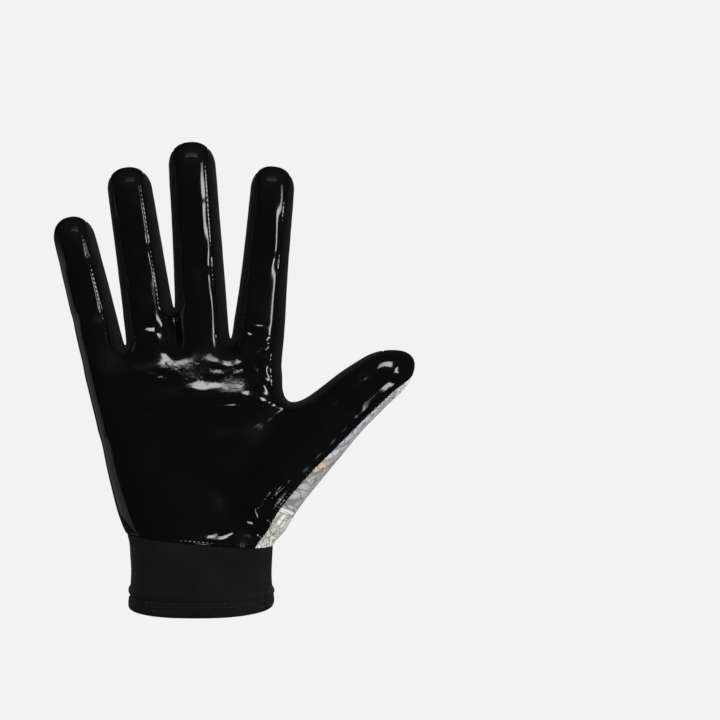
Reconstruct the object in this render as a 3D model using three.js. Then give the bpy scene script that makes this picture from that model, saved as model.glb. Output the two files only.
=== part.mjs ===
import * as THREE from 'three';

// A right-hand football receiver glove in its worn form, fingers up (+Z), palm facing -Y, thumb
// toward +X. The origin is the centre of the wrist opening. Sizes are in millimetres.
const gloveHeight = 228.1;   // wrist rim to the middle fingertip
const knuckleWidth = 98.4;
const knuckleDepth = 24.6;
const wristWidth = 69.6;
const wristDepth = 48;
const fingerWidth = 24.8;    // the widest finger
const fingerDepth = 20;
const fingerCurl = 6.8;      // how far the fingertips lean toward the palm side
const thumbWidth = 35.2;
const thumbDepth = 27;
const thumbCurl = 13.2;
const crotchBlend = 1.3;     // softness of the joins between fingers
const webBlend = 14;         // softness of the join between thumb and hand
const cuffHeight = 34.4;     // wrist rim to the seam, on the middle line
const cuffTilt = -0.09;      // rise of that seam per millimetre toward +X
const hemHeight = 7;
const hemProud = 0.7;
const palmWall = 1.2;
const backWall = 1.05;
const sideWall = 1;
const cuffWall = 1.6;
const hemWall = 3;
const seamGap = 0.3;
const sideFront = 4;         // how far the side strips reach onto the palm side
const sideBack = 2.6;        // and onto the back
const webFront = 3.6;
const thumbWrap = 7.6;       // how far the back wraps round the thumb's outer side
const foldDepth = 1.4;
const foldFade = 12;         // folds die out where the glove is thinner than this
const palmRound = 17;        // how far the palm rounds off under the fingers
const rootRound = 10;        // how far a limb fades below its root
const leanBlend = 6;         // how softly one limb's lean passes into the next
const gapLift = 3.5;         // height of a side strip's straight part above the gap's bottom
const gapDrop = 10;          // depth of its turning point below that bottom

// Rows along a limb. Columns: share of its length, width, palm side depth, back depth, lean and
// sideways bend, each as a share of the limb's named size.
const limbRows = {
  little: [
    [0, 0.774, 0.475, 0.45, 0, 0], [0.4, 0.855, 0.48, 0.43, 0, 0], [0.55, 0.847, 0.445, 0.41, -0.088, 0],
    [0.75, 0.823, 0.42, 0.39, -0.353, 0], [0.9, 0.798, 0.395, 0.37, -0.618, 0], [1, 0.766, 0.36, 0.34, -0.824, 0],
  ],
  ring: [
    [0, 0.968, 0.5, 0.475, 0, 0], [0.4, 0.976, 0.52, 0.46, 0, 0], [0.55, 0.944, 0.485, 0.44, -0.088, 0],
    [0.75, 0.895, 0.46, 0.42, -0.382, 0], [0.9, 0.863, 0.43, 0.4, -0.706, 0], [1, 0.831, 0.39, 0.37, -0.971, 0],
  ],
  middle: [
    [0, 1, 0.5, 0.475, 0, 0], [0.4, 1.01, 0.53, 0.47, 0, 0], [0.55, 0.985, 0.495, 0.45, -0.088, 0],
    [0.75, 0.94, 0.47, 0.43, -0.382, 0], [0.9, 0.919, 0.44, 0.41, -0.706, 0], [1, 0.887, 0.4, 0.38, -1, 0],
  ],
  index: [
    [0, 0.968, 0.5, 0.475, 0, 0], [0.4, 1, 0.52, 0.46, -0.03, 0], [0.55, 0.927, 0.485, 0.44, -0.118, 0],
    [0.75, 0.879, 0.46, 0.42, -0.382, 0], [0.9, 0.855, 0.43, 0.4, -0.676, 0], [1, 0.823, 0.39, 0.37, -0.912, 0],
  ],
  thumb: [
    [0, 1, 0.556, 0.444, -0.227, 0], [0.25, 1.03, 0.519, 0.444, -0.341, -0.114],
    [0.42, 0.96, 0.485, 0.425, -0.46, -0.153], [0.52, 0.87, 0.46, 0.405, -0.545, -0.15],
    [0.75, 0.75, 0.4, 0.37, -0.758, -0.139], [0.9, 0.648, 0.348, 0.333, -0.909, -0.091],
    [1, 0.54, 0.304, 0.296, -1, -0.043],
  ],
};
// Where each limb starts and ends: x as a share of knuckleWidth, z as a share of gloveHeight, then the
// length of its round tip as a share of its width and the squareness of its section.
const limbEnds = {
  little: { root: [-0.4157, 0.4029], tip: [-0.6494, 0.8409], round: 0.464, square: 2.3 },
  ring: { root: [-0.1941, 0.4029], tip: [-0.3638, 0.9461], round: 0.464, square: 2.3 },
  middle: { root: [0.0295, 0.4029], tip: [-0.0472, 1], round: 0.484, square: 2.3 },
  index: { root: [0.2398, 0.4029], tip: [0.3679, 0.9483], round: 0.464, square: 2.3 },
  thumb: { root: [0.2866, 0.2354], tip: [1.0528, 0.5401], round: 0.483, square: 2.1 },
};
// The hand from wrist to knuckles. Columns: share of palmReach, then how far the width, the palm side
// depth and the back depth have gone from the wrist's size to the knuckles' size, and the bend.
const palmReach = 0.5638;    // as a share of gloveHeight
const palmRows = [
  [0, 0, 0, 0, 0], [0.202, -0.021, 0.132, 0.125, 0], [0.264, 0.028, 0.246, 0.3, 0],
  [0.327, 0.208, 0.386, 0.467, -0.0102], [0.498, 0.5, 0.596, 0.7, -0.0315],
  [0.747, 0.736, 0.825, 0.883, -0.063], [1, 1, 1, 1, -0.1037],
];
// Folds of the palm side: start x and z, end x and z (shares as above), width as a share of
// knuckleWidth and depth as a share of foldDepth.
const folds = [
  [-0.1, 0.36, 0.08, 0.31, 0.24, 1.6], [0.44, 0.43, 0.12, 0.4, 0.06, 1],
  [-0.4, 0.47, -0.02, 0.5, 0.06, 0.8], [0.04, 0.5, 0.34, 0.51, 0.06, 0.9],
  [0.2, 0.3, 0.34, 0.22, 0.09, 0.7],
];
const fingerNames = ['little', 'ring', 'middle', 'index'];

function smoothRow(shares, values) {
  const last = shares.length - 1;
  const rise = (i) => (values[i + 1] - values[i]) / (shares[i + 1] - shares[i]);
  const slopes = values.map((_, i) => {
    if (i === 0) return rise(0);
    if (i === last) return rise(last - 1);
    const before = shares[i] - shares[i - 1];
    const after = shares[i + 1] - shares[i];
    return (rise(i - 1) * after + rise(i) * before) / (before + after);
  });
  return (at) => {
    const t = Math.min(Math.max(at, shares[0]), shares[last]);
    let i = 0;
    while (i < last - 1 && t >= shares[i + 1]) i += 1;
    const w = shares[i + 1] - shares[i];
    const u = (t - shares[i]) / w;
    return (1 + 2 * u) * (1 - u) ** 2 * values[i] + u * (1 - u) ** 2 * w * slopes[i]
      + u * u * (3 - 2 * u) * values[i + 1] + u * u * (u - 1) * w * slopes[i + 1];
  };
}

function makeLimb(root, tip, shares, columns, cap, square) {
  const length = Math.hypot(tip[0] - root[0], tip[1] - root[1]);
  const along = [(tip[0] - root[0]) / length, (tip[1] - root[1]) / length];
  const [half, front, back, lean, bend] = columns.map((column) => smoothRow(shares, column));
  const limb = { root, length, along, across: [along[1], -along[0]], half, front, back, lean, bend, cap, square };
  limb.axis = (share) => [0, 1].map((k) => root[k] + along[k] * share * length + limb.across[k] * bend(share));
  limb.share = (x, z) => ((x - root[0]) * along[0] + (z - root[1]) * along[1]) / length;
  return limb;
}

const limbs = {};
for (const [name, rows] of Object.entries(limbRows)) {
  const { root, tip, round, square } = limbEnds[name];
  const thumb = name === 'thumb';
  const [width, depth, curl] = thumb ? [thumbWidth, thumbDepth, thumbCurl] : [fingerWidth, fingerDepth, fingerCurl];
  const place = ([x, z]) => [x * knuckleWidth, z * gloveHeight];
  const columns = [
    rows.map((row) => row[1] * width / 2), rows.map((row) => row[2] * depth), rows.map((row) => row[3] * depth),
    rows.map((row) => row[4] * curl), rows.map((row) => row[5] * width),
  ];
  limbs[name] = makeLimb(place(root), place(tip), rows.map((row) => row[0]), columns, round * width, square);
}
const between = (from, to, share) => from + (to - from) * share;
limbs.palm = makeLimb([0, 0], [0, palmReach * gloveHeight], palmRows.map((row) => row[0]), [
  palmRows.map((row) => between(wristWidth, knuckleWidth, row[1]) / 2),
  palmRows.map((row) => between(wristDepth / 2, knuckleDepth * 0.512, row[2])),
  palmRows.map((row) => between(wristDepth / 2, knuckleDepth * 0.488, row[3])),
  palmRows.map(() => 0), palmRows.map((row) => row[4] * knuckleWidth),
], palmRound, 2.5);

// Distance-like value of one limb at (x, z) and depth e from its middle surface, below 0 inside.
function limbValue(limb, x, z, e) {
  const share = limb.share(x, z);
  const run = share * limb.length;
  const side = (x - limb.root[0]) * limb.across[0] + (z - limb.root[1]) * limb.across[1] - limb.bend(share);
  const half = limb.half(share);
  const depth = e < 0 ? limb.front(share) : limb.back(share);
  const n = limb.square;
  const a = Math.abs(side / half);
  const b = Math.abs(e / depth);
  const c = Math.max(run - (limb.length - limb.cap), 0) / limb.cap + Math.max(-run, 0) / rootRound;
  const q = Math.max((a ** n + b ** n + c ** n) ** (1 / n), 1e-3);
  const steep = q ** (1 - n)
    * Math.hypot(a ** (n - 1) / half, b ** (n - 1) / depth, c ** (n - 1) / limb.cap);
  return Math.max((q - 1) / Math.max(steep, 1e-3), -40);
}

// The whole form: hand and fingers joined softly, then the thumb with a wider blend at the web.
function formValue(x, z, e) {
  const values = [...fingerNames, 'palm'].map((name) => limbValue(limbs[name], x, z, e));
  const low = Math.min(...values);
  const sum = values.reduce((total, v) => total + Math.exp((low - v) / crotchBlend), 0);
  const hand = low - crotchBlend * Math.log(sum);
  const thumb = limbValue(limbs.thumb, x, z, e);
  const near = Math.max(webBlend - Math.abs(hand - thumb), 0) / webBlend;
  return Math.min(hand, thumb) - near * near * webBlend / 4;
}

// y of the middle surface, which leans toward the palm side along each finger.
function middleDepth(x, z) {
  const all = Object.values(limbs);
  const values = all.map((limb) => limbValue(limb, x, z, 0));
  const low = Math.min(...values);
  const weights = values.map((v) => Math.exp((low - v) / leanBlend));
  const total = weights.reduce((sum, w) => sum + w, 0);
  return all.reduce((sum, limb, i) => sum + weights[i] * limb.lean(limb.share(x, z)), 0) / total;
}

function halve(inside, outside, value) {
  let [a, b] = [inside, outside];
  for (let i = 0; i < 36; i += 1) {
    const m = (a + b) / 2;
    if (value(m) < 0) a = m; else b = m;
  }
  return (a + b) / 2;
}

function foldCut(x, z) {
  let cut = 0;
  for (const [x0, z0, x1, z1, width, depth] of folds) {
    const a = [x0 * knuckleWidth, z0 * gloveHeight];
    const d = [x1 * knuckleWidth - a[0], z1 * gloveHeight - a[1]];
    const t = Math.min(Math.max(((x - a[0]) * d[0] + (z - a[1]) * d[1]) / (d[0] ** 2 + d[1] ** 2), 0), 1);
    const off = Math.hypot(x - a[0] - t * d[0], z - a[1] - t * d[1]) / (width * knuckleWidth);
    cut += foldDepth * depth * Math.exp(-off * off);
  }
  return cut;
}

// The surface point over (x, z) on the palm side (face -1) or the back (face 1).
function surfacePoint([x, z], face) {
  if (formValue(x, z, 0) > -1e-4) return [x, middleDepth(x, z), z];
  let e = halve(0, knuckleWidth, (m) => formValue(x, z, face * m));
  if (face < 0) e -= foldCut(x, z) * Math.min(e / foldFade, 1) ** 2;
  return [x, middleDepth(x, z) + face * e, z];
}

function outward([x, y, z]) {
  const value = (px, py, pz) => formValue(px, pz, py - middleDepth(px, pz));
  const s = 0.05;
  return new THREE.Vector3(
    value(x + s, y, z) - value(x - s, y, z),
    value(x, y + s, z) - value(x, y - s, z),
    value(x, y, z + s) - value(x, y, z - s),
  ).normalize();
}

// A station is a place on the outline found along a ray from the limb's middle, with that ray.
function station(from, angle) {
  const ray = [Math.cos(angle), Math.sin(angle)];
  const value = (r) => formValue(from[0] + ray[0] * r, from[1] + ray[1] * r, 0);
  let far = 1;
  while (value(far) < 0 && far < gloveHeight) far += 1;
  const r = halve(far - 1, far, value);
  return { at: [from[0] + ray[0] * r, from[1] + ray[1] * r], ray };
}
const insetBy = ({ at, ray }, inset) => [at[0] - ray[0] * inset, at[1] - ray[1] * inset];

const degree = Math.PI / 180;
const angleOf = ([x, z]) => Math.atan2(z, x);
const tipTurns = [20, 36, 45].map((turn) => turn * degree);
const steps = (count) => Array.from({ length: count + 1 }, (_, i) => i / count);

// Stations up one side of a limb, from a share of its length to the corner of its round tip.
function sideStations(limb, side, fromShare, count) {
  const capShare = 1 - limb.cap / limb.length;
  const square = angleOf(limb.across.map((v) => v * side));
  return [
    ...steps(count).map((t) => station(limb.axis(between(fromShare, capShare, t)), square)),
    ...tipTurns.map((turn) => station(limb.axis(capShare), square + side * turn)),
  ];
}
function tipStations(limb, count) {
  const capShare = 1 - limb.cap / limb.length;
  return steps(count).map((t) => station(limb.axis(capShare), angleOf(limb.along) + (0.5 - t) * 90 * degree));
}

// The bottom of the gap between two limbs, going out from a point along a ray.
const gaps = fingerNames.slice(0, -1).map((name, i) => {
  const [a, b] = [limbs[name], limbs[fingerNames[i + 1]]];
  const low = [0, 1].map((k) => (a.root[k] + b.root[k]) / 2);
  const ends = [a, b].map((limb) => limb.axis(1));
  return station(low, Math.atan2((ends[0][1] + ends[1][1]) / 2 - low[1], (ends[0][0] + ends[1][0]) / 2 - low[0]));
});
const fingerRowCount = 6;
const baseShares = fingerNames.map((name, i) => {
  const share = (gap) => limbs[name].share(...gap.at) + gapLift / limbs[name].length;
  const left = share(gaps[Math.max(i - 1, 0)]);
  const right = share(gaps[Math.min(i, gaps.length - 1)]);
  return [left, right];
});
const fingerSides = fingerNames.map((name, i) => [-1, 1].map(
  (side, k) => sideStations(limbs[name], side, baseShares[i][k], fingerRowCount),
));
const fingerTips = fingerNames.map((name) => tipStations(limbs[name], 5));

// Round the bottom of each gap, between the two side rows that meet there.
const gapBottoms = gaps.map((gap, i) => {
  const from = limbs[fingerNames[i]].axis(baseShares[i][1]);
  const to = limbs[fingerNames[i + 1]].axis(baseShares[i + 1][0]);
  const start = angleOf(limbs[fingerNames[i]].across);
  const end = angleOf(limbs[fingerNames[i + 1]].across) + Math.PI;
  const under = [gap.at[0], gap.at[1] - gapDrop];
  return steps(4).slice(1, -1).map((t) => {
    const spine = [0, 1].map((k) => from[k] * (1 - t) ** 2 + to[k] * t * t
      + (2 * under[k] - (from[k] + to[k]) / 2) * 2 * t * (1 - t));
    return station(spine, between(start, end, t));
  });
});

// From the index finger's outer side round the web and out along the thumb.
const indexLimb = limbs.index;
const thumbLimb = limbs.thumb;
const thumbStart = 0.56;
const webHub = [0, 1].map((k) => between(indexLimb.root[k], thumbLimb.axis(0.4)[k], 0.42));
const webStart = indexLimb.axis(baseShares[3][1]);
const webFrom = angleOf(indexLimb.across);
const webTo = angleOf(thumbLimb.across) + Math.PI;
const webShare = 0.42;       // of that turn, from the index finger to the thumb's base
const indexToWeb = [0.22, 0.44, 0.64, 0.82, 1].map((t) => {
  const turn = between(webFrom, webTo, webShare * Math.max(t - 0.3, 0) / 0.7);
  return station([between(webStart[0], webHub[0], t), between(webStart[1], webHub[1], t)], turn);
});
const webToThumb = steps(3).slice(1, -1).map((t) => {
  const end = thumbLimb.axis(thumbStart);
  const turn = between(webFrom, webTo, between(webShare, 1, t));
  return station([between(webHub[0], end[0], t), between(webHub[1], end[1], t)], turn);
});
const thumbUpper = [...webToThumb, ...sideStations(thumbLimb, -1, thumbStart, 3)];
const thumbLowerStart = 0.24;
const thumbLower = sideStations(thumbLimb, 1, thumbLowerStart, 6);
const thumbTip = tipStations(thumbLimb, 5);

// Down both edges of the hand to the seam with the cuff.
const seamMiddle = [0, cuffHeight];
const seamAngle = Math.atan(cuffTilt);
function downTo(from, fromAngle, toAngle, count) {
  return steps(count).slice(1).map((t) => station(
    [between(from[0], seamMiddle[0], t), between(from[1], seamMiddle[1], t)],
    between(fromAngle, toAngle, t * t * (3 - 2 * t)),
  ));
}
const palmRowCounts = { web: 5, thumb: 5, heel: 4 };
const handRows = palmRowCounts.web + palmRowCounts.thumb + palmRowCounts.heel;
const littleLimb = limbs.little;
const leftEdge = downTo(littleLimb.axis(baseShares[0][0]), angleOf(littleLimb.across) + Math.PI,
  Math.PI + seamAngle, handRows);
const heelEdge = downTo(thumbLimb.axis(thumbLowerStart), angleOf(thumbLimb.across), seamAngle, palmRowCounts.heel);

// How far each strip's edge stands in from the outline, station by station.
const tipTaper = [0.75, 0.45, 0.15, 0];
const taperOf = (count) => (i) => (i < count - 3 ? between(1, tipTaper[0], i / (count - 4)) : tipTaper[i - count + 4]);
const sideTaper = taperOf(fingerSides[0][0].length);
const gapWiden = [1.05, 1.15, 1.05];
const sideInset = { '-1': sideFront, 1: sideBack };
const webInset = { '-1': webFront, 1: sideBack };
const wrapShares = [0.9, 0.84, 0.7, 0.55, 0.44, 0.38, 0.36, 0.22, 0.08, 0];

function coonsGrid(bottom, top, left, right) {
  const runOf = (line) => {
    const lengths = [0];
    for (let i = 1; i < line.length; i += 1) {
      lengths.push(lengths[i - 1] + Math.hypot(line[i][0] - line[i - 1][0], line[i][1] - line[i - 1][1]));
    }
    return lengths.map((v) => v / lengths[lengths.length - 1]);
  };
  const [ub, ut, vl, vr] = [bottom, top, left, right].map(runOf);
  const m = bottom.length - 1;
  const n = left.length - 1;
  return left.map((_, i) => bottom.map((__, j) => {
    const v = between(vl[i], vr[i], j / m);
    const u = between(ub[j], ut[j], v);
    return [0, 1].map((k) => between(bottom[j][k], top[j][k], v) + between(left[i][k], right[i][k], u)
      - between(between(bottom[0][k], bottom[m][k], u), between(top[0][k], top[m][k], u), v));
  })).map((row, i) => {
    if (i === 0) return bottom;
    if (i === n) return top;
    return [left[i], ...row.slice(1, -1), right[i]];
  });
}
// Points between two places, closer together near an end that lies on the outline.
function spacedLine(from, to, count, roundFrom, roundTo) {
  return steps(count).map((t) => {
    let s = t;
    if (roundFrom && roundTo) s = (1 - Math.cos(Math.PI * t)) / 2;
    else if (roundFrom) s = between(t, 1 - Math.cos(Math.PI * t / 2), 0.8);
    else if (roundTo) s = between(t, Math.sin(Math.PI * t / 2), 0.8);
    return [between(from[0], to[0], s), between(from[1], to[1], s)];
  });
}

// All grids of one face of the glove, as surface points.
function faceGrids(face) {
  const grids = [];
  const topOfHand = [];
  const plain = (line) => line.map(({ at }) => at);
  const tapered = (line, inset) => line.map((s, i) => insetBy(s, inset * sideTaper(i)));
  fingerNames.forEach((name, f) => {
    const [left, right] = fingerSides[f];
    const leftLine = f === 0 ? plain(left) : tapered(left, sideInset[face]);
    const rightLine = tapered(right, f === 3 ? webInset[face] : sideInset[face]);
    const base = spacedLine(leftLine[0], rightLine[0], 5, f === 0, false);
    grids.push(coonsGrid(base, plain(fingerTips[f]), leftLine, rightLine));
    topOfHand.push(...base);
    if (f < 3) topOfHand.push(...gapBottoms[f].map((s, i) => insetBy(s, sideInset[face] * gapWiden[i])));
  });
  const wrap = (i) => (face < 0 ? thumbWrap * wrapShares[i] : 0);
  const upperTaper = taperOf(thumbUpper.length);
  const upper = [indexToWeb[indexToWeb.length - 1], ...thumbUpper].map(
    (s, i) => insetBy(s, webInset[face] * (i === 0 ? 1 : upperTaper(i - 1))),
  );
  const lower = thumbLower.map((s, i) => insetBy(s, wrap(i)));
  const thumbBase = spacedLine(upper[0], lower[0], palmRowCounts.thumb, false, face > 0);
  grids.push(coonsGrid(thumbBase, plain(thumbTip), upper, lower));
  const heel = heelEdge.map((s) => insetBy(s, face < 0 ? thumbWrap : 0));
  const web = indexToWeb.map((s) => insetBy(s, webInset[face]));
  const rightLine = [topOfHand[topOfHand.length - 1], ...web, ...thumbBase.slice(1), ...heel];
  const leftLine = [topOfHand[0], ...plain(leftEdge)];
  const seam = spacedLine(leftLine[handRows], rightLine[handRows], topOfHand.length - 1, true, true);
  grids.push(coonsGrid(topOfHand, seam, leftLine, rightLine));
  return grids.map((grid) => grid.map((row) => row.map((p) => surfacePoint(p, face))));
}

// A strip that straddles the outline: across it runs from the palm side edge to the back edge.
function stripGrid(stations, frontInsets, backInsets, marks) {
  return stations.map((s, i) => marks.map((w) => (
    surfacePoint(insetBy(s, (w < 0 ? frontInsets[i] : backInsets[i]) * w * w), w < 0 ? -1 : 1)
  )));
}

// Weld grids into one skin, open a gap at its edges, give it a wall toward the inside and close it.
function shellGeometry(grids, wall, flips) {
  const points = [];
  const lookup = new Map();
  const indexOf = (p) => {
    const key = p.map((v) => Math.round(v * 1e4)).join();
    if (!lookup.has(key)) {
      lookup.set(key, points.length);
      points.push(new THREE.Vector3(...p));
    }
    return lookup.get(key);
  };
  const faces = [];
  grids.forEach((grid, g) => {
    const ids = grid.map((row) => row.map(indexOf));
    for (let i = 0; i < ids.length - 1; i += 1) {
      for (let j = 0; j < ids[i].length - 1; j += 1) {
        const [a, b, c, d] = [ids[i][j], ids[i][j + 1], ids[i + 1][j + 1], ids[i + 1][j]];
        const wide = points[a].distanceTo(points[c]) < points[b].distanceTo(points[d]);
        for (const t of wide ? [[a, b, c], [a, c, d]] : [[a, b, d], [b, c, d]]) {
          if (new Set(t).size === 3) faces.push(flips[g] ? [t[0], t[2], t[1]] : t);
        }
      }
    }
  });
  const normals = points.map((p) => outward(p.toArray()));
  const open = new Map();
  for (const t of faces) t.forEach((a, k) => open.set(`${a},${t[(k + 1) % 3]}`, [a, t[(k + 1) % 3]]));
  const rim = [...open.values()].filter(([a, b]) => !open.has(`${b},${a}`));
  const moves = new Map();
  for (const [a, b] of rim) {
    for (const id of [a, b]) {
      const inward = normals[id].clone().cross(points[b].clone().sub(points[a])).normalize();
      moves.set(id, [...(moves.get(id) ?? []), inward]);
    }
  }
  const outer = points.map((p) => p.clone());
  for (const [id, [first, second]] of moves) {
    const turn = Math.max(1 + first.dot(second), 0.5);
    outer[id].addScaledVector(first.clone().add(second), seamGap / 2 / turn);
  }
  const inner = outer.map((p, i) => p.clone().addScaledVector(normals[i], -wall));
  const n = points.length;
  const index = faces.flatMap(([a, b, c]) => [a, b, c, a + n, c + n, b + n]);
  for (const [a, b] of rim) index.push(b, a, a + n, b, a + n, b + n);
  const geometry = new THREE.BufferGeometry();
  const position = [...outer, ...inner].flatMap((p) => p.toArray());
  geometry.setAttribute('position', new THREE.Float32BufferAttribute(position, 3));
  geometry.setIndex(index);
  geometry.computeVertexNormals();
  return geometry;
}

const marks = [-1, -0.5, 0, 0.5, 1];
const sideStrips = gaps.map((_, i) => {
  const down = [...fingerSides[i][1]].reverse();
  const up = fingerSides[i + 1][0];
  const bottom = gapBottoms[i];
  const shares = [...down.map((__, k) => sideTaper(down.length - 1 - k)), ...gapWiden, ...up.map((__, k) => sideTaper(k))];
  const insets = (size) => shares.map((share) => size * share);
  return stripGrid([...down, ...bottom, ...up], insets(sideFront), insets(sideBack), marks);
});
const gussetStations = [...fingerSides[3][1]].reverse().concat(indexToWeb, thumbUpper);
const gussetShares = gussetStations.map((_, i) => {
  const up = fingerSides[3][1].length;
  if (i < up) return sideTaper(up - 1 - i);
  const out = i - up - indexToWeb.length;
  return out < 0 ? 1 : taperOf(thumbUpper.length)(out);
});
const gussetInsets = [webFront, sideBack].map((size) => gussetShares.map((share) => size * share));
const gussetGrid = stripGrid(gussetStations, ...gussetInsets, marks);
const wrapStations = [...[...heelEdge].reverse(), ...thumbLower];
const wrapInsets = [...heelEdge.map(() => thumbWrap), ...wrapShares.map((s) => s * thumbWrap)];
const wrapGrid = stripGrid(wrapStations, wrapInsets, wrapInsets, [-1, -0.72, -0.4, 0]);

// Rings round the wrist, each station found along a ray from the middle of the hand.
const ringCount = 44;
function ringPoint(turn, height) {
  const ray = [Math.cos(turn), Math.sin(turn)];
  let r = wristWidth / 2;
  for (let pass = 0; pass < 4; pass += 1) {
    const z = height(r * ray[0]);
    r = halve(0, wristWidth, (m) => formValue(m * ray[0], z, m * ray[1]));
  }
  return [r * ray[0], r * ray[1], height(r * ray[0])];
}
const turns = steps(ringCount).map((t) => (t % 1) * 2 * Math.PI);
const bandFoot = hemHeight + seamGap / 2;
const bandGrid = steps(4).map((t) => turns.map(
  (turn) => ringPoint(turn, (x) => between(bandFoot, cuffHeight + cuffTilt * x, t)),
));

function hemGeometry() {
  const proud = [-1, -0.62, -0.12, 0.2, 0.2, -0.12, -0.62, -1];
  const rise = [0.1, 0, 0, 0.12, 0.88, 1, 1, 0.9];
  const position = [];
  const index = [];
  const rows = proud.length;
  for (let i = 0; i < ringCount; i += 1) {
    const [x, y] = ringPoint(turns[i], () => hemHeight / 2);
    const n = outward([x, y, hemHeight / 2]).setZ(0).normalize();
    for (let j = 0; j < rows; j += 1) {
      const out = hemProud + (proud[j] - 0.2) * hemWall / 1.2;
      position.push(x + n.x * out, y + n.y * out, rise[j] * hemHeight);
      const [a, b] = [i * rows + j, i * rows + (j + 1) % rows];
      const [c, d] = [(b + rows) % (ringCount * rows), (a + rows) % (ringCount * rows)];
      index.push(a, d, c, a, c, b);
    }
  }
  const geometry = new THREE.BufferGeometry();
  geometry.setAttribute('position', new THREE.Float32BufferAttribute(position, 3));
  geometry.setIndex(index);
  geometry.computeVertexNormals();
  return geometry;
}

const palmFinish = { color: 0x0b0b0c, roughness: 0.2, metalness: 0 };
const knitFinish = { color: 0x151516, roughness: 0.9, metalness: 0 };
const backFinish = { color: 0xb9b6bb, roughness: 0.8, metalness: 0 };
const glove = new THREE.Group();
function addPiece(name, geometry, finish) {
  const piece = new THREE.Mesh(geometry, new THREE.MeshStandardMaterial(finish));
  piece.name = name;
  glove.add(piece);
}

// Grid windings: finger and thumb grids run upward, the hand's grid runs down to the seam.
const panelFlips = [false, false, false, false, false, true];
addPiece('palm_panel', shellGeometry(faceGrids(-1), palmWall, panelFlips), palmFinish);
addPiece('back_panel', shellGeometry([...faceGrids(1), wrapGrid], backWall, [...panelFlips.map((f) => !f), false]), backFinish);
['little_ring', 'ring_middle', 'middle_index'].forEach((pair, i) => {
  addPiece(`fourchette_${pair}`, shellGeometry([sideStrips[i]], sideWall, [true]), knitFinish);
});
addPiece('thumb_gusset', shellGeometry([gussetGrid], sideWall, [true]), knitFinish);
addPiece('cuff_band', shellGeometry([bandGrid], cuffWall, [false]), knitFinish);
addPiece('cuff_hem', hemGeometry(), knitFinish);

export default glove;
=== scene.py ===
import bpy
import numpy as np
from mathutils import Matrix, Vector


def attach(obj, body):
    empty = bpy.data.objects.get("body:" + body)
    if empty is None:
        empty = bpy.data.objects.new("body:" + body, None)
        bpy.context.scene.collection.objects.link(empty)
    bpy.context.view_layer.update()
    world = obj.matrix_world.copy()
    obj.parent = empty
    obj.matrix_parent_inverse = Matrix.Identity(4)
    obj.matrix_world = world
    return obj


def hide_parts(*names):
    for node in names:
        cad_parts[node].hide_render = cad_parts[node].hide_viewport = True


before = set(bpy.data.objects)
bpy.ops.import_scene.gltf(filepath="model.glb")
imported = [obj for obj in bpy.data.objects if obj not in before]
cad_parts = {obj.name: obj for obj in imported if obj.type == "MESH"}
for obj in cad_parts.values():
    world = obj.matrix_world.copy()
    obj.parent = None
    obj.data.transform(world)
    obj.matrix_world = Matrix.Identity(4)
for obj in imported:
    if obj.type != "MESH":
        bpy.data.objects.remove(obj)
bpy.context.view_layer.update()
pi = np.pi
degree = pi / 180
metre = 1000  # in millimetres, which all shapes are worked out in
mapUnit = 100  # millimetres in one unit of the cloth map

# The glove's form, in millimetres: fingers up (+Z), palm facing -Y, thumb toward +X.
form = {
    "gloveHeight": 228.1, "knuckleWidth": 98.4, "knuckleDepth": 24.6, "wristWidth": 69.6, "wristDepth": 48.0,
    "fingerWidth": 24.8, "fingerDepth": 20.0, "fingerCurl": 6.8, "thumbWidth": 35.2, "thumbDepth": 27.0,
    "thumbCurl": 13.2, "crotchBlend": 1.3, "webBlend": 14.0, "palmReach": 0.5638, "foldDepth": 1.4,
    "cuffHeight": 34.4, "cuffTilt": -0.09, "hemHeight": 7.0, "hemProud": 0.7, "palmCap": 17, "rootCap": 10,
    "palmSquare": 2.5, "palmShare": 0.512, "leanBlend": 6, "deepest": 60, "foldFade": 12,
}
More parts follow.
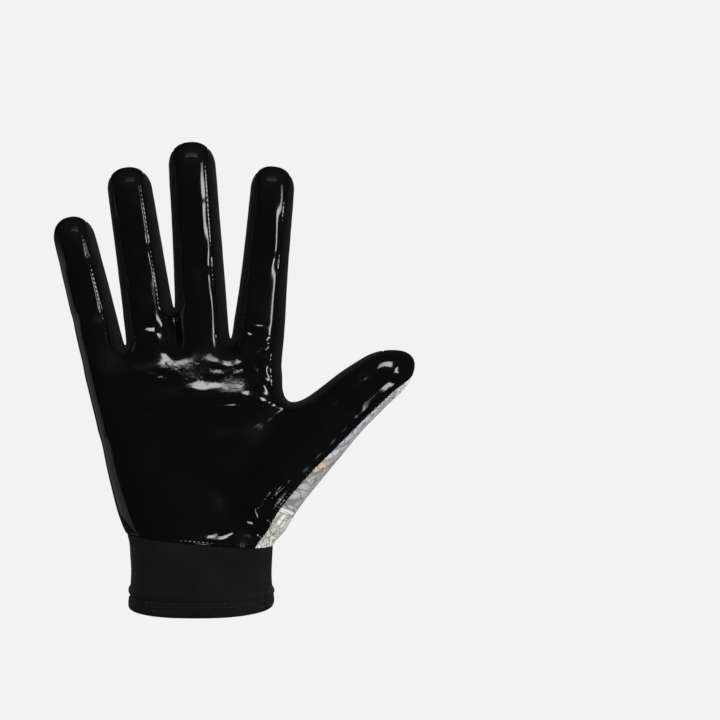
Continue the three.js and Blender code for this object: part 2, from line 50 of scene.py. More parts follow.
# Rows along each limb: share of its length, width, palm side depth, back depth, lean, sideways bend.
limbRows = {
    "little": [[0, 0.774, 0.475, 0.45, 0, 0], [0.4, 0.855, 0.48, 0.43, 0, 0],
               [0.55, 0.847, 0.445, 0.41, -0.088, 0], [0.75, 0.823, 0.42, 0.39, -0.353, 0],
               [0.9, 0.798, 0.395, 0.37, -0.618, 0], [1, 0.766, 0.36, 0.34, -0.824, 0]],
    "ring": [[0, 0.968, 0.5, 0.475, 0, 0], [0.4, 0.976, 0.52, 0.46, 0, 0],
             [0.55, 0.944, 0.485, 0.44, -0.088, 0], [0.75, 0.895, 0.46, 0.42, -0.382, 0],
             [0.9, 0.863, 0.43, 0.4, -0.706, 0], [1, 0.831, 0.39, 0.37, -0.971, 0]],
    "middle": [[0, 1, 0.5, 0.475, 0, 0], [0.4, 1.01, 0.53, 0.47, 0, 0], [0.55, 0.985, 0.495, 0.45, -0.088, 0],
               [0.75, 0.94, 0.47, 0.43, -0.382, 0], [0.9, 0.919, 0.44, 0.41, -0.706, 0],
               [1, 0.887, 0.4, 0.38, -1, 0]],
    "index": [[0, 0.968, 0.5, 0.475, 0, 0], [0.4, 1, 0.52, 0.46, -0.03, 0],
              [0.55, 0.927, 0.485, 0.44, -0.118, 0], [0.75, 0.879, 0.46, 0.42, -0.382, 0],
              [0.9, 0.855, 0.43, 0.4, -0.676, 0], [1, 0.823, 0.39, 0.37, -0.912, 0]],
    "thumb": [[0, 1, 0.556, 0.444, -0.227, 0], [0.25, 1.03, 0.519, 0.444, -0.341, -0.114],
              [0.42, 0.96, 0.485, 0.425, -0.46, -0.153], [0.52, 0.87, 0.46, 0.405, -0.545, -0.15],
              [0.75, 0.75, 0.4, 0.37, -0.758, -0.139], [0.9, 0.648, 0.348, 0.333, -0.909, -0.091],
              [1, 0.54, 0.304, 0.296, -1, -0.043]],
}
# Root and tip (x as a share of knuckleWidth, z of gloveHeight), round tip and squareness of the section.
limbEnds = {
    "little": [(-0.4157, 0.4029), (-0.6494, 0.8409), 0.464, 2.3],
    "ring": [(-0.1941, 0.4029), (-0.3638, 0.9461), 0.464, 2.3],
    "middle": [(0.0295, 0.4029), (-0.0472, 1), 0.484, 2.3],
    "index": [(0.2398, 0.4029), (0.3679, 0.9483), 0.464, 2.3],
    "thumb": [(0.2866, 0.2354), (1.0528, 0.5401), 0.483, 2.1],
}
# Rows up the hand: share of its length, then width, palm side depth and back depth, each 0 for the wrist's
# and 1 for the knuckles', and the sideways bend.
palmRows = [[0, 0, 0, 0, 0], [0.202, -0.021, 0.132, 0.125, 0], [0.264, 0.028, 0.246, 0.3, 0],
            [0.327, 0.208, 0.386, 0.467, -0.0102], [0.498, 0.5, 0.596, 0.7, -0.0315],
            [0.747, 0.736, 0.825, 0.883, -0.063], [1, 1, 1, 1, -0.1037]]
# Broad folds of the palm side: from x, z to x, z, width and depth, as shares.
broadFolds = [[-0.1, 0.36, 0.08, 0.31, 0.24, 1.6], [0.44, 0.43, 0.12, 0.4, 0.06, 1],
              [-0.4, 0.47, -0.02, 0.5, 0.06, 0.8], [0.04, 0.5, 0.34, 0.51, 0.06, 0.9],
              [0.2, 0.3, 0.34, 0.22, 0.09, 0.7]]
fingerNames = ["little", "ring", "middle", "index"]


def between(a, b, t):
    return a + (b - a) * t


def softStep(low, high, value):  # 0 below low, 1 above high, smooth between
    t = np.clip((value - low) / (high - low), 0, 1)
    return t * t * (3 - 2 * t)


def smoothRow(shares, values):  # a cubic through the rows, its slopes taken from their neighbours
    shares, values = np.asarray(shares, float), np.asarray(values, float)
    slopes = np.gradient(values, shares)

    def at(share):
        t = np.clip(share, shares[0], shares[-1])
        i = np.clip(np.searchsorted(shares, t, side="right") - 1, 0, len(shares) - 2)
        w = shares[i + 1] - shares[i]
        u = (t - shares[i]) / w
        return ((1 + 2 * u) * (1 - u) ** 2 * values[i] + u * (1 - u) ** 2 * w * slopes[i]
                + u * u * (3 - 2 * u) * values[i + 1] + u * u * (u - 1) * w * slopes[i + 1])
    return at


class Limb:
    def __init__(self, root, tip, shares, columns, cap, square):
        self.root, reach = np.array(root, float), np.array(tip, float) - np.array(root, float)
        self.length = np.hypot(*reach)
        self.along = reach / self.length
        self.across = np.array([self.along[1], -self.along[0]])
        self.half, self.front, self.back, self.lean, self.bend = [smoothRow(shares, c) for c in columns]
        self.cap, self.square = cap, square

    def place(self, x, z):  # distance up the limb and sideways from its bent axis
        run = (x - self.root[0]) * self.along[0] + (z - self.root[1]) * self.along[1]
        side = (x - self.root[0]) * self.across[0] + (z - self.root[1]) * self.across[1]
        return run, side - self.bend(run / self.length)

    def axis(self, share):
        share = np.atleast_1d(share)[:, None]
        return self.root + self.along * share * self.length + self.across * self.bend(share)

    def angle(self, side=0):
        return np.arctan2(self.along[1], self.along[0]) - side * pi / 2


def makeLimbs(f):
    limbs = {}
    for name, rows in limbRows.items():
        r = np.array(rows, float)
        root, tip, cap, square = limbEnds[name]
        kind = "thumb" if name == "thumb" else "finger"
        width, depth, curl = f[kind + "Width"], f[kind + "Depth"], f[kind + "Curl"]
        ends = [(p[0] * f["knuckleWidth"], p[1] * f["gloveHeight"]) for p in (root, tip)]
        columns = [r[:, 1] * width / 2, r[:, 2] * depth, r[:, 3] * depth, r[:, 4] * curl, r[:, 5] * width]
        limbs[name] = Limb(*ends, r[:, 0], columns, cap * width, square)
    r = np.array(palmRows, float)
    limbs["palm"] = Limb((0, 0), (0, f["palmReach"] * f["gloveHeight"]), r[:, 0], [
        between(f["wristWidth"], f["knuckleWidth"], r[:, 1]) / 2,
        between(f["wristDepth"] / 2, f["knuckleDepth"] * f["palmShare"], r[:, 2]),
        between(f["wristDepth"] / 2, f["knuckleDepth"] * (1 - f["palmShare"]), r[:, 3]), r[:, 0] * 0,
        r[:, 4] * f["knuckleWidth"]], f["palmCap"], f["palmSquare"])
    return limbs


limbs = makeLimbs(form)


def limbValue(limb, x, z, e):  # distance-like value of one rounded limb, below 0 inside
    run, side = limb.place(x, z)
    share = run / limb.length
    half, n = limb.half(share), limb.square
    depth = np.where(e < 0, limb.front(share), limb.back(share))
    a, b = np.abs(side / half), np.abs(e / depth)
    c = np.maximum(run - (limb.length - limb.cap), 0) / limb.cap + np.maximum(-run, 0) / form["rootCap"]
    q = np.maximum((a ** n + b ** n + c ** n) ** (1 / n), 1e-3)
    steep = q ** (1 - n) * np.sqrt((a ** (n - 1) / half) ** 2 + (b ** (n - 1) / depth) ** 2
                                   + (c ** (n - 1) / limb.cap) ** 2)
    return np.maximum((q - 1) / np.maximum(steep, 1e-3), -40)


def formValue(x, z, e):  # fingers and hand joined softly, then the thumb with a wider blend
    x, z, e = np.broadcast_arrays(x, z, e)
    values = np.array([limbValue(limbs[n], x, z, e) for n in fingerNames + ["palm"]])
    low = values.min(0)
    hand = low - form["crotchBlend"] * np.log(np.exp((low - values) / form["crotchBlend"]).sum(0))
    thumb = limbValue(limbs["thumb"], x, z, e)
    near = np.maximum(form["webBlend"] - np.abs(hand - thumb), 0) / form["webBlend"]
    return np.minimum(hand, thumb) - near * near * form["webBlend"] / 4


def middleDepth(x, z):  # y of the middle surface: the limbs' lean, weighted by nearness
    values = np.array([limbValue(limb, x, z, np.zeros_like(x)) for limb in limbs.values()])
    weights = np.exp((values.min(0) - values) / form["leanBlend"])
    leans = np.array([limb.lean(limb.place(x, z)[0] / limb.length) for limb in limbs.values()])
    return (weights * leans).sum(0) / weights.sum(0)


def halve(low, high, value):  # the crossing between low (inside) and high (outside), by halving
    for _ in range(34):
        middle = (low + high) / 2
        inside = value(middle) < 0
        low, high = np.where(inside, middle, low), np.where(inside, high, middle)
    return (low + high) / 2


def segmentDistance(x, z, x0, z0, x1, z1):
    dx, dz = x1 - x0, z1 - z0
    t = np.clip(((x - x0) * dx + (z - z0) * dz) / (dx * dx + dz * dz), 0, 1)
    return np.hypot(x - x0 - t * dx, z - z0 - t * dz), t


def foldCut(x, z):
    cut = 0
    for x0, z0, x1, z1, width, depth in broadFolds:
        w, h = form["knuckleWidth"], form["gloveHeight"]
        off, _ = segmentDistance(x, z, x0 * w, z0 * h, x1 * w, z1 * h)
        cut = cut + form["foldDepth"] * depth * np.exp(-(off / (width * w)) ** 2)
    return cut


def surfacePoints(xz, face):  # the surface over (x, z): palm side for face -1, back for face 1
    x, z = xz[..., 0], xz[..., 1]
    face = np.broadcast_to(face, x.shape)
    e = halve(np.zeros_like(x), np.full_like(x, form["deepest"]), lambda m: formValue(x, z, face * m))
    e = np.where(formValue(x, z, 0.0) > -1e-4, 0, e)
    e = np.where(face < 0, e - foldCut(x, z) * np.minimum(e / form["foldFade"], 1) ** 2, e)
    return np.stack([x, middleDepth(x, z) + face * e, z], -1)


def outward(points):  # unit gradient of the form's value
    x, y, z = points.T
    value = lambda a, b, c: formValue(a, c, b - middleDepth(a, c))
    s = 0.05
    g = np.stack([value(x + s, y, z) - value(x - s, y, z), value(x, y + s, z) - value(x, y - s, z),
                  value(x, y, z + s) - value(x, y, z - s)], -1)
    return g / np.linalg.norm(g, axis=1)[:, None]


class Line:
    # Stations along the outline: where rays from points inside meet it, and the rays.
    def __init__(self, at, ray):
        self.at, self.ray = at, ray

    def __add__(self, other):
        return Line(np.concatenate([self.at, other.at]), np.concatenate([self.ray, other.ray]))

    def __getitem__(self, part):
        return Line(self.at[part], self.ray[part])

    def inset(self, amount):
        return self.at - self.ray * np.broadcast_to(amount, len(self.at))[:, None]


rayStep, rayReach = 0.2, 120.0


def castLine(start, angle):  # where rays from points inside first leave the form
    start = np.atleast_2d(start)
    angle = np.broadcast_to(angle, len(start))
    ray = np.stack([np.cos(angle), np.sin(angle)], -1)
    value = lambda r: formValue(start[:, 0] + ray[:, 0] * r, start[:, 1] + ray[:, 1] * r, 0.0)
    far = np.arange(rayStep, rayReach, rayStep)[:, None]
    first = far[np.argmax(value(far) > 0, 0), 0]
    r = halve(first - rayStep, first, value)
    return Line(start + ray * r[:, None], ray)


# How finely each stretch is divided.
detail = {"finger": 56, "fingerTip": 12, "across": 32, "gap": 20, "web": 44, "webOut": 12, "heel": 34,
          "thumbOut": 30, "strip": 14, "wrap": 10, "ring": 200, "cuffRows": 26}
# Widths of the sewn parts, in millimetres.
seams = {"sideFront": 4.0, "sideBack": 2.6, "webFront": 3.6, "wrap": 7.6, "gap": 0.1, "palmWall": 1.2,
         "backWall": 1.05, "sideWall": 1.0, "rollWidth": 1.15, "rollDepth": 0.5}


def evenSteps(count):
    return np.linspace(0, 1, count + 1)


def closeSteps(count, atStart, atEnd):  # steps that close up toward the marked ends
    t = evenSteps(count)
    if atStart and atEnd:
        return (1 - np.cos(pi * t)) / 2
    if atStart:
        return between(t, 1 - np.cos(pi * t / 2), 0.9)
    return between(t, np.sin(pi * t / 2), 0.9) if atEnd else t


tipTurns = np.sin(evenSteps(detail["fingerTip"])[1:] * pi / 2) * 45 * degree


def sideLine(limb, side, fromShare, count):
    capShare = 1 - limb.cap / limb.length
    shares = between(fromShare, capShare, closeSteps(count, True, False) * 0.5 + evenSteps(count) * 0.5)
    straight = castLine(limb.axis(shares), limb.angle(side))
    corner = castLine(np.repeat(limb.axis(capShare), len(tipTurns), 0), limb.angle(side) + side * tipTurns)
    return straight + corner


def tipLine(limb, count):
    capShare = 1 - limb.cap / limb.length
    turn = (0.5 - evenSteps(count)) * 90 * degree
    return castLine(np.repeat(limb.axis(capShare), count + 1, 0), limb.angle() + turn)


def gapStation(a, b):
    low, high = (a.root + b.root) / 2, (a.axis(1)[0] + b.axis(1)[0]) / 2
    return castLine(low, np.arctan2(high[1] - low[1], high[0] - low[0])).at[0]


gaps = [gapStation(limbs[a], limbs[b]) for a, b in zip(fingerNames, fingerNames[1:])]
baseShares, baseLift = [], 3.5
for i, name in enumerate(fingerNames):
    limb = limbs[name]
    near = [gaps[max(i - 1, 0)], gaps[min(i, 2)]]
    baseShares.append([(limb.place(*p)[0] + baseLift) / limb.length for p in near])
fingerSides = [[sideLine(limbs[name], side, share, detail["finger"]) for side, share in zip((-1, 1), shares)]
               for name, shares in zip(fingerNames, baseShares)]
fingerTips = [tipLine(limbs[n], detail["across"]) for n in fingerNames]


def gapLine(i):  # down one finger's wall, round the bottom of the gap and up the next, evenly spaced
    a, b = limbs[fingerNames[i]], limbs[fingerNames[i + 1]]
    start, end = fingerSides[i][1].at[0], fingerSides[i + 1][0].at[0]
    z = np.linspace(max(start[1], end[1]), gaps[i][1] - 8, 160)[:, None]
    axisX = [limb.root[0] + (z - limb.root[1]) * limb.along[0] / limb.along[1] for limb in (a, b)]
    x = between(axisX[0], axisX[1], evenSteps(400)[None])
    free = formValue(x, z + 0 * x, 0.0) > 0
    rows = np.nonzero(free.any(1))[0]
    leftWall = np.stack([x[rows, free[rows].argmax(1)], z[rows, 0]], 1)
    rightWall = np.stack([x[rows, x.shape[1] - 1 - free[rows, ::-1].argmax(1)], z[rows, 0]], 1)
    path = np.concatenate([[start], leftWall[leftWall[:, 1] < start[1] - 0.2],
                           rightWall[rightWall[:, 1] < end[1] - 0.2][::-1], [end]])
    run = np.r_[0, np.cumsum(np.hypot(*np.diff(path, axis=0).T))]
    t = evenSteps(detail["gap"])[1:-1]
    at = np.stack([np.interp(t * run[-1], run, path[:, k]) for k in (0, 1)], 1)
    for _ in range(6):  # onto the outline along the value's slope
        f = formValue(at[:, 0], at[:, 1], 0.0)
        slope = np.stack([formValue(at[:, 0] + 0.02, at[:, 1], 0.0) - f,
                          formValue(at[:, 0], at[:, 1] + 0.02, 0.0) - f], 1) / 0.02
        at = at - slope * np.clip(f / np.maximum((slope ** 2).sum(1), 0.05), -0.3, 0.3)[:, None]
    angle = between(a.angle(1), b.angle(-1) + 2 * pi * (b.angle(-1) < 0), softStep(0.2, 0.8, t))
    return Line(at, np.stack([np.cos(angle), np.sin(angle)], 1))


gapLines = [gapLine(i) for i in range(3)]
indexLimb, thumbLimb, littleLimb = limbs["index"], limbs["thumb"], limbs["little"]
thumbStart, thumbLowerStart, webShare = 0.56, 0.24, 0.42
webHub = between(indexLimb.root, thumbLimb.axis(0.4)[0], webShare)
webFrom, webTo = indexLimb.angle(1), thumbLimb.angle(-1)
webSteps = closeSteps(detail["web"], True, False)[1:, None]
indexToWeb = castLine(between(indexLimb.axis(baseShares[3][1]), webHub, webSteps),
                      between(webFrom, webTo, webShare * np.maximum(webSteps[:, 0] - 0.3, 0) / 0.7))
outSteps = evenSteps(detail["webOut"])[1:-1, None]
webToThumb = castLine(between(webHub, thumbLimb.axis(thumbStart), outSteps),
                      between(webFrom, webTo, between(webShare, 1, outSteps[:, 0])))
thumbUpper = webToThumb + sideLine(thumbLimb, -1, thumbStart, detail["thumbOut"] - detail["webOut"])
thumbLower = sideLine(thumbLimb, 1, thumbLowerStart, detail["thumbOut"])
thumbTip = tipLine(thumbLimb, detail["across"])
seamAngle = np.arctan(form["cuffTilt"])
seamMiddle = np.array([0, form["cuffHeight"]])


def downLine(start, fromAngle, toAngle, steps):
    t = steps[1:, None]
    return castLine(between(start, seamMiddle, t), between(fromAngle, toAngle, (t * t * (3 - 2 * t))[:, 0]))


heelSteps = closeSteps(detail["heel"], False, True)
# Shares of the hand's outer edge that lie opposite the web, the thumb's root and the heel.
webPart, rootPart, heelPart = 0.36, 0.34, 0.3
handSteps = np.concatenate([closeSteps(detail["web"], True, False) * webPart,
                            webPart + evenSteps(detail["across"])[1:] * rootPart,
                            1 - heelPart + heelSteps[1:] * heelPart])
leftEdge = downLine(littleLimb.axis(baseShares[0][0])[0], littleLimb.angle(1) + pi, pi + seamAngle, handSteps)
heelEdge = downLine(thumbLimb.axis(thumbLowerStart)[0], thumbLimb.angle(1), seamAngle, heelSteps)


def taper(line):  # strips keep their width up a finger and run out in a point at its tip
    straight = len(line.at) - detail["fingerTip"]
    along = np.linspace(1, 0.75, straight)
    return np.concatenate([along, 0.75 * np.cos(tipTurns / (45 * degree) * pi / 2) ** 0.8])


sideInset = {-1: seams["sideFront"], 1: seams["sideBack"]}
webInset = {-1: seams["webFront"], 1: seams["sideBack"]}
wrapAlong = [0.9, 0.84, 0.7, 0.55, 0.44, 0.38, 0.36]  # the printed strip's width up the thumb, as shares
wrapShare = np.concatenate([np.interp(evenSteps(detail["thumbOut"]), np.linspace(0, 1, 7), wrapAlong),
                            wrapAlong[-1] * np.cos(tipTurns / (45 * degree) * pi / 2)])
heelShare = 0.9 + 0.1 * softStep(0, 0.6, heelSteps[1:])
gapBulge = 1 + 0.12 * np.sin(evenSteps(detail["gap"])[1:-1] * pi)


def coonsGrid(bottom, top, left, right):  # a patch filled in between its four edges
    def runOf(line):
        d = np.r_[0, np.cumsum(np.hypot(*np.diff(line, axis=0).T))]
        return d / d[-1]
    ub, ut, vl, vr = [runOf(line) for line in (bottom, top, left, right)]
    v = between(vl[:, None], vr[:, None], evenSteps(len(bottom) - 1)[None, :])
    u = between(ub[None, :], ut[None, :], v)[..., None]
    v = v[..., None]
    grid = (between(bottom[None], top[None], v) + between(left[:, None], right[:, None], u)
            - between(between(bottom[0], bottom[-1], u), between(top[0], top[-1], u), v))
    grid[0], grid[-1], grid[:, 0], grid[:, -1] = bottom, top, left, right
    return grid


def spreadGrid(grid, rounds):  # inner points moved till the grid lines spread evenly (elliptic smoothing)
    for _ in range(rounds):
        u, v = (grid[1:-1, 2:] - grid[1:-1, :-2]) / 2, (grid[2:, 1:-1] - grid[:-2, 1:-1]) / 2
        a, b, c = [(p * q).sum(-1, keepdims=True) for p, q in ((v, v), (u, v), (u, u))]
        cross = (grid[2:, 2:] - grid[:-2, 2:] - grid[2:, :-2] + grid[:-2, :-2]) / 4
        pull = a * (grid[1:-1, 2:] + grid[1:-1, :-2]) + c * (grid[2:, 1:-1] + grid[:-2, 1:-1])
        grid[1:-1, 1:-1] += 0.9 * ((pull - 2 * b * cross) / (2 * (a + c)) - grid[1:-1, 1:-1])
    return grid


def faceGrids(face):
    flat, topOfHand = [], []
    for f in range(4):
        left, right = fingerSides[f]
        leftLine = left.at if f == 0 else left.inset(sideInset[face] * taper(left))
        rightLine = right.inset((webInset if f == 3 else sideInset)[face] * taper(right))
        base = between(leftLine[0], rightLine[0], closeSteps(detail["across"], True, True)[:, None])
        flat.append(coonsGrid(base, fingerTips[f].at, leftLine, rightLine))
        topOfHand.append(base)
        if f < 3:
            topOfHand.append(gapLines[f].inset(sideInset[face] * gapBulge))
    topOfHand = np.concatenate(topOfHand)
    upperTaper = np.r_[1, taper(thumbUpper)]
    upper = (indexToWeb[-1:] + thumbUpper).inset(webInset[face] * upperTaper)
    lower = thumbLower.inset(seams["wrap"] * wrapShare if face < 0 else 0)
    thumbBase = between(upper[0], lower[0], closeSteps(detail["across"], True, True)[:, None])
    flat.append(coonsGrid(thumbBase, thumbTip.at, upper, lower))
    heel = heelEdge.inset(seams["wrap"] * heelShare if face < 0 else 0)
    rightLine = np.concatenate([topOfHand[-1:], indexToWeb.inset(webInset[face]), thumbBase[1:], heel])
    leftLine = np.concatenate([topOfHand[:1], leftEdge.at])
    seam = between(leftLine[-1], rightLine[-1], closeSteps(len(topOfHand) - 1, True, True)[:, None])
    flat.append(spreadGrid(coonsGrid(topOfHand, seam, leftLine, rightLine), 70))
    return [surfacePoints(g, face) for g in flat]


def stripGrid(line, front, back, marks):  # a strip straddling the outline, from palm edge to back edge
    inset = np.where(marks[None] < 0, front[:, None], back[:, None]) * marks[None] ** 2
    xz = line.at[:, None] - line.ray[:, None] * inset[..., None]
    return surfacePoints(xz, np.where(marks < 0, -1, 1)[None])


def boundaryRuns(rim, points):  # distance travelled along each closed edge of a skin
    following = dict(zip(rim[:, 0].tolist(), rim[:, 1].tolist()))
    run, left = {}, set(following)
    while left:
        here, travelled = min(left), 0.0
        while here in left:
            left.discard(here)
            run[here] = travelled
            travelled += float(np.linalg.norm(points[following[here]] - points[here]))
            here = following[here]
    return run


class Skin:
    # Grids welded into one sheet, with its normals, its open edge and each point's way to that edge.
    def __init__(self, grids, flips, coords=None):
        cells, start = [], 0
        points = np.concatenate([g.reshape(-1, 3) for g in grids])
        for g, flip in zip(grids, flips):
            ids = start + np.arange(g.shape[0] * g.shape[1]).reshape(g.shape[:2])
            a, b, c, d = [q.ravel() for q in (ids[:-1, :-1], ids[:-1, 1:], ids[1:, 1:], ids[1:, :-1])]
            slants = [np.linalg.norm(points[p] - points[q], axis=1) for p, q in ((a, c), (b, d))]
            wide = slants[0] < slants[1]
            pair = np.concatenate([np.stack([a, b, np.where(wide, c, d)], 1),
                                   np.stack([np.where(wide, a, b), c, d], 1)])
            cells.append(pair[:, ::-1] if flip else pair)
            start += ids.size
        _, first, back = np.unique(np.round(points * 1e3).astype(np.int64), axis=0, return_index=True,
                                   return_inverse=True)
        self.points, tris = points[first], back.ravel()[np.concatenate(cells)]
        keep = (tris[:, 0] != tris[:, 1]) & (tris[:, 1] != tris[:, 2]) & (tris[:, 2] != tris[:, 0])
        self.tris = tris[keep]
        self.normals = outward(self.points)
        self.coords = None if coords is None else np.concatenate([c.reshape(-1, 2) for c in coords])[first]
        edges = np.concatenate([self.tris[:, [0, 1]], self.tris[:, [1, 2]], self.tris[:, [2, 0]]])
        count = len(self.points)
        self.rim = edges[~np.isin(edges[:, 0] * count + edges[:, 1], edges[:, 1] * count + edges[:, 0])]
        run = boundaryRuns(self.rim, self.points)
        runs = np.array([run[i] for i in self.rim[:, 0].tolist()])
        start, reach = self.points[self.rim[:, 0]], self.points[self.rim[:, 1]] - self.points[self.rim[:, 0]]
        lengths = np.linalg.norm(reach, axis=1)
        self.edgeDistance, self.edgeRun = np.zeros(count), np.zeros(count)
        # Each point's nearest place on the rim, in batches that keep the arrays small.
        for part in np.array_split(np.arange(count), count // 1500 + 1):
            off = self.points[part][:, None] - start[None]
            t = np.clip((off * reach).sum(2) / lengths ** 2, 0, 1)
            gap = np.linalg.norm(off - reach * t[..., None], axis=2)
            near, row = gap.argmin(1), np.arange(len(part))
            self.edgeDistance[part] = gap[row, near]
            self.edgeRun[part] = runs[near] + t[row, near] * lengths[near]

    def pulled(self, gap):  # the open edge drawn back by half the seam's gap
        moves = np.zeros_like(self.points)
        reach = self.points[self.rim[:, 1]] - self.points[self.rim[:, 0]]
        inward = np.cross(self.normals[self.rim], reach[:, None])
        inward /= np.linalg.norm(inward, axis=2)[..., None]
        np.add.at(moves, self.rim[:, 0], inward[:, 0])
        np.add.at(moves, self.rim[:, 1], inward[:, 1])
        turn = np.maximum((moves ** 2).sum(1) / 2, 0.5)
        return self.points + moves * (gap / 2 / turn)[:, None]


def putMesh(name, points, faces, uv=None, layers=None, material=None, node=None):
    mesh = bpy.data.meshes.new(name)
    mesh.vertices.add(len(points))
    mesh.vertices.foreach_set("co", np.ascontiguousarray(points / metre, np.float32).ravel())
    corners = faces.shape[1]
    mesh.loops.add(faces.size)
    mesh.loops.foreach_set("vertex_index", np.ascontiguousarray(faces, np.int32).ravel())
    mesh.polygons.add(len(faces))
    mesh.polygons.foreach_set("loop_start", np.arange(0, faces.size, corners, dtype=np.int32))
    mesh.update(calc_edges=True)
    mesh.validate()
    mesh.shade_smooth()
    if uv is not None:
        layer = mesh.uv_layers.new(name="cloth")
        order = np.empty(len(mesh.loops), np.int32)
        mesh.loops.foreach_get("vertex_index", order)
        layer.data.foreach_set("uv", np.ascontiguousarray(uv[order], np.float32).ravel())
    for key, values in (layers or {}).items():
        mesh.attributes.new(key, "FLOAT", "POINT").data.foreach_set("value", values.astype(np.float32))
    piece = bpy.data.objects.new(name, mesh)
    bpy.context.collection.objects.link(piece)
    if material:
        mesh.materials.append(material)
    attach(piece, "root")
    if node:
        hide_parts(node)


def sewPiece(name, skin, wall, relief, uv, layers, material, node):
    # Wall toward the inside, edges rolled down into their seams, relief along the normal.
    d = np.clip(1 - skin.edgeDistance / seams["rollWidth"], 0, 1)
    roll = seams["rollDepth"] * (1 - np.sqrt(1 - d ** 2))
    outer = skin.pulled(seams["gap"]) + skin.normals * (relief - roll)[:, None]
    inner = skin.pulled(seams["gap"]) + skin.normals * (np.minimum(relief, 0) - wall)[:, None]
    n = len(skin.points)
    a, b = skin.rim.T
    edge = np.concatenate([np.stack([b, a, a + n], 1), np.stack([b, a + n, b + n], 1)])
    faces = np.concatenate([skin.tris, skin.tris[:, ::-1] + n, edge])
    layers = dict(layers, edgeDistance=skin.edgeDistance, edgeRun=skin.edgeRun)
    putMesh(name, np.concatenate([outer, inner]), faces, np.concatenate([uv, uv]),
            {k: np.concatenate([v, v]) for k, v in layers.items()}, material, node)
    print(name, len(faces), "triangles")


class Wire:
    # A shader socket that adds, multiplies and compares like a number.
    def __init__(self, paint, socket):
        self.paint, self.socket = paint, socket

    def math(self, operation, *others, clamp=False):
        inputs = {i: v for i, v in enumerate((self,) + others)}
        return self.paint.node("ShaderNodeMath", {"operation": operation, "use_clamp": clamp}, inputs)

    def __add__(self, other): return self.math("ADD", other)
    def __radd__(self, other): return self.math("ADD", other)
    def __sub__(self, other): return self.math("SUBTRACT", other)
    def __rsub__(self, other): return (self * -1).math("ADD", other)
    def __mul__(self, other): return self.math("MULTIPLY", other)
    def __rmul__(self, other): return self.math("MULTIPLY", other)
    def __truediv__(self, other): return self.math("DIVIDE", other)
    def sine(self): return self.math("SINE")
    def floor(self): return self.math("FLOOR")
    def fraction(self): return self.math("FRACT")
    def size(self): return self.math("ABSOLUTE")
    def above(self, other): return self.math("GREATER_THAN", other)
    def higher(self, other): return self.math("MAXIMUM", other)
    def clamped(self): return self.math("ADD", 0.0, clamp=True)


class Paint:
    # A material under construction.
    def __init__(self, name):
        self.material = bpy.data.materials.new(name)
        self.material.use_nodes = True
        self.tree = self.material.node_tree
        self.tree.nodes.clear()

    def node(self, kind, settings=None, inputs=None, output=0):
        made = self.tree.nodes.new(kind)
        for key, value in (settings or {}).items():
            if key == "stops":
                ramp = made.color_ramp.elements
                while len(ramp) < len(value):
                    ramp.new(0.5)
                for stop, (place, shade) in zip(ramp, value):
                    stop.position, stop.color = place, (*shade, 1)
            else:
                setattr(made, key, value)
        for key, value in (inputs or {}).items():
            if isinstance(value, Wire):
                self.tree.links.new(value.socket, made.inputs[key])
            else:
                made.inputs[key].default_value = value
        return Wire(self, made.outputs[output])

    def split(self, vector):
        made = self.tree.nodes.new("ShaderNodeSeparateXYZ")
        self.tree.links.new(vector.socket, made.inputs[0])
        return [Wire(self, s) for s in made.outputs]

    def layer(self, name):
        return self.node("ShaderNodeAttribute", {"attribute_name": name}, output=2)

    def cloth(self):  # place on the cloth's map, in millimetres
        return [part * mapUnit for part in self.split(self.node("ShaderNodeUVMap", {"uv_map": "cloth"}))[:2]]

    def join(self, x, y, z=0.0):
        return self.node("ShaderNodeCombineXYZ", inputs={0: x, 1: y, 2: z})

    def objectPlace(self):
        return self.node("ShaderNodeTexCoord", output=3)

    def noise(self, vector, scale, detailLevel=3.0, roughness=0.5):
        return self.node("ShaderNodeTexNoise", inputs={"Vector": vector, "Scale": scale, "Detail": detailLevel,
                                                       "Roughness": roughness})

    def ramp(self, low, high, value):  # 0 at low, 1 at high, smooth between
        return self.node("ShaderNodeMapRange", {"interpolation_type": "SMOOTHSTEP"},
                         {"Value": value, "From Min": low, "From Max": high})

    def blend(self, amount, first, second):
        return self.node("ShaderNodeMix", {"data_type": "RGBA"}, {0: amount, 6: first, 7: second}, output=2)

    def surface(self, color, roughness, height, lift, fixed=None):
        bump = self.node("ShaderNodeBump", inputs={"Strength": 1.0, "Distance": lift, "Height": height})
        wires = {"Base Color": color, "Roughness": roughness, "Normal": bump}
        return self.node("ShaderNodeBsdfPrincipled", inputs={**wires, **(fixed or {})})

    def finish(self, surface):
        out = self.tree.nodes.new("ShaderNodeOutputMaterial")
        self.tree.links.new(surface.socket, out.inputs[0])
        return self.material


# Gloss grip film: wet black, crumpled where the hand closes, with the stitching under it pressed through.
film = {"color": (0.0012, 0.0012, 0.0013, 1), "roughness": 0.085, "ior": 1.46, "gloss": 0.5, "lift": 0.0006,
        "crumpleSize": 210.0, "softSize": 70.0, "smearSize": 38.0, "stitch": 2.1, "stitchFromEdge": 1.75,
        "worn": (0.0024, 0.0024, 0.0026, 1), "wornRoughness": 0.6, "wornGloss": 0.03}


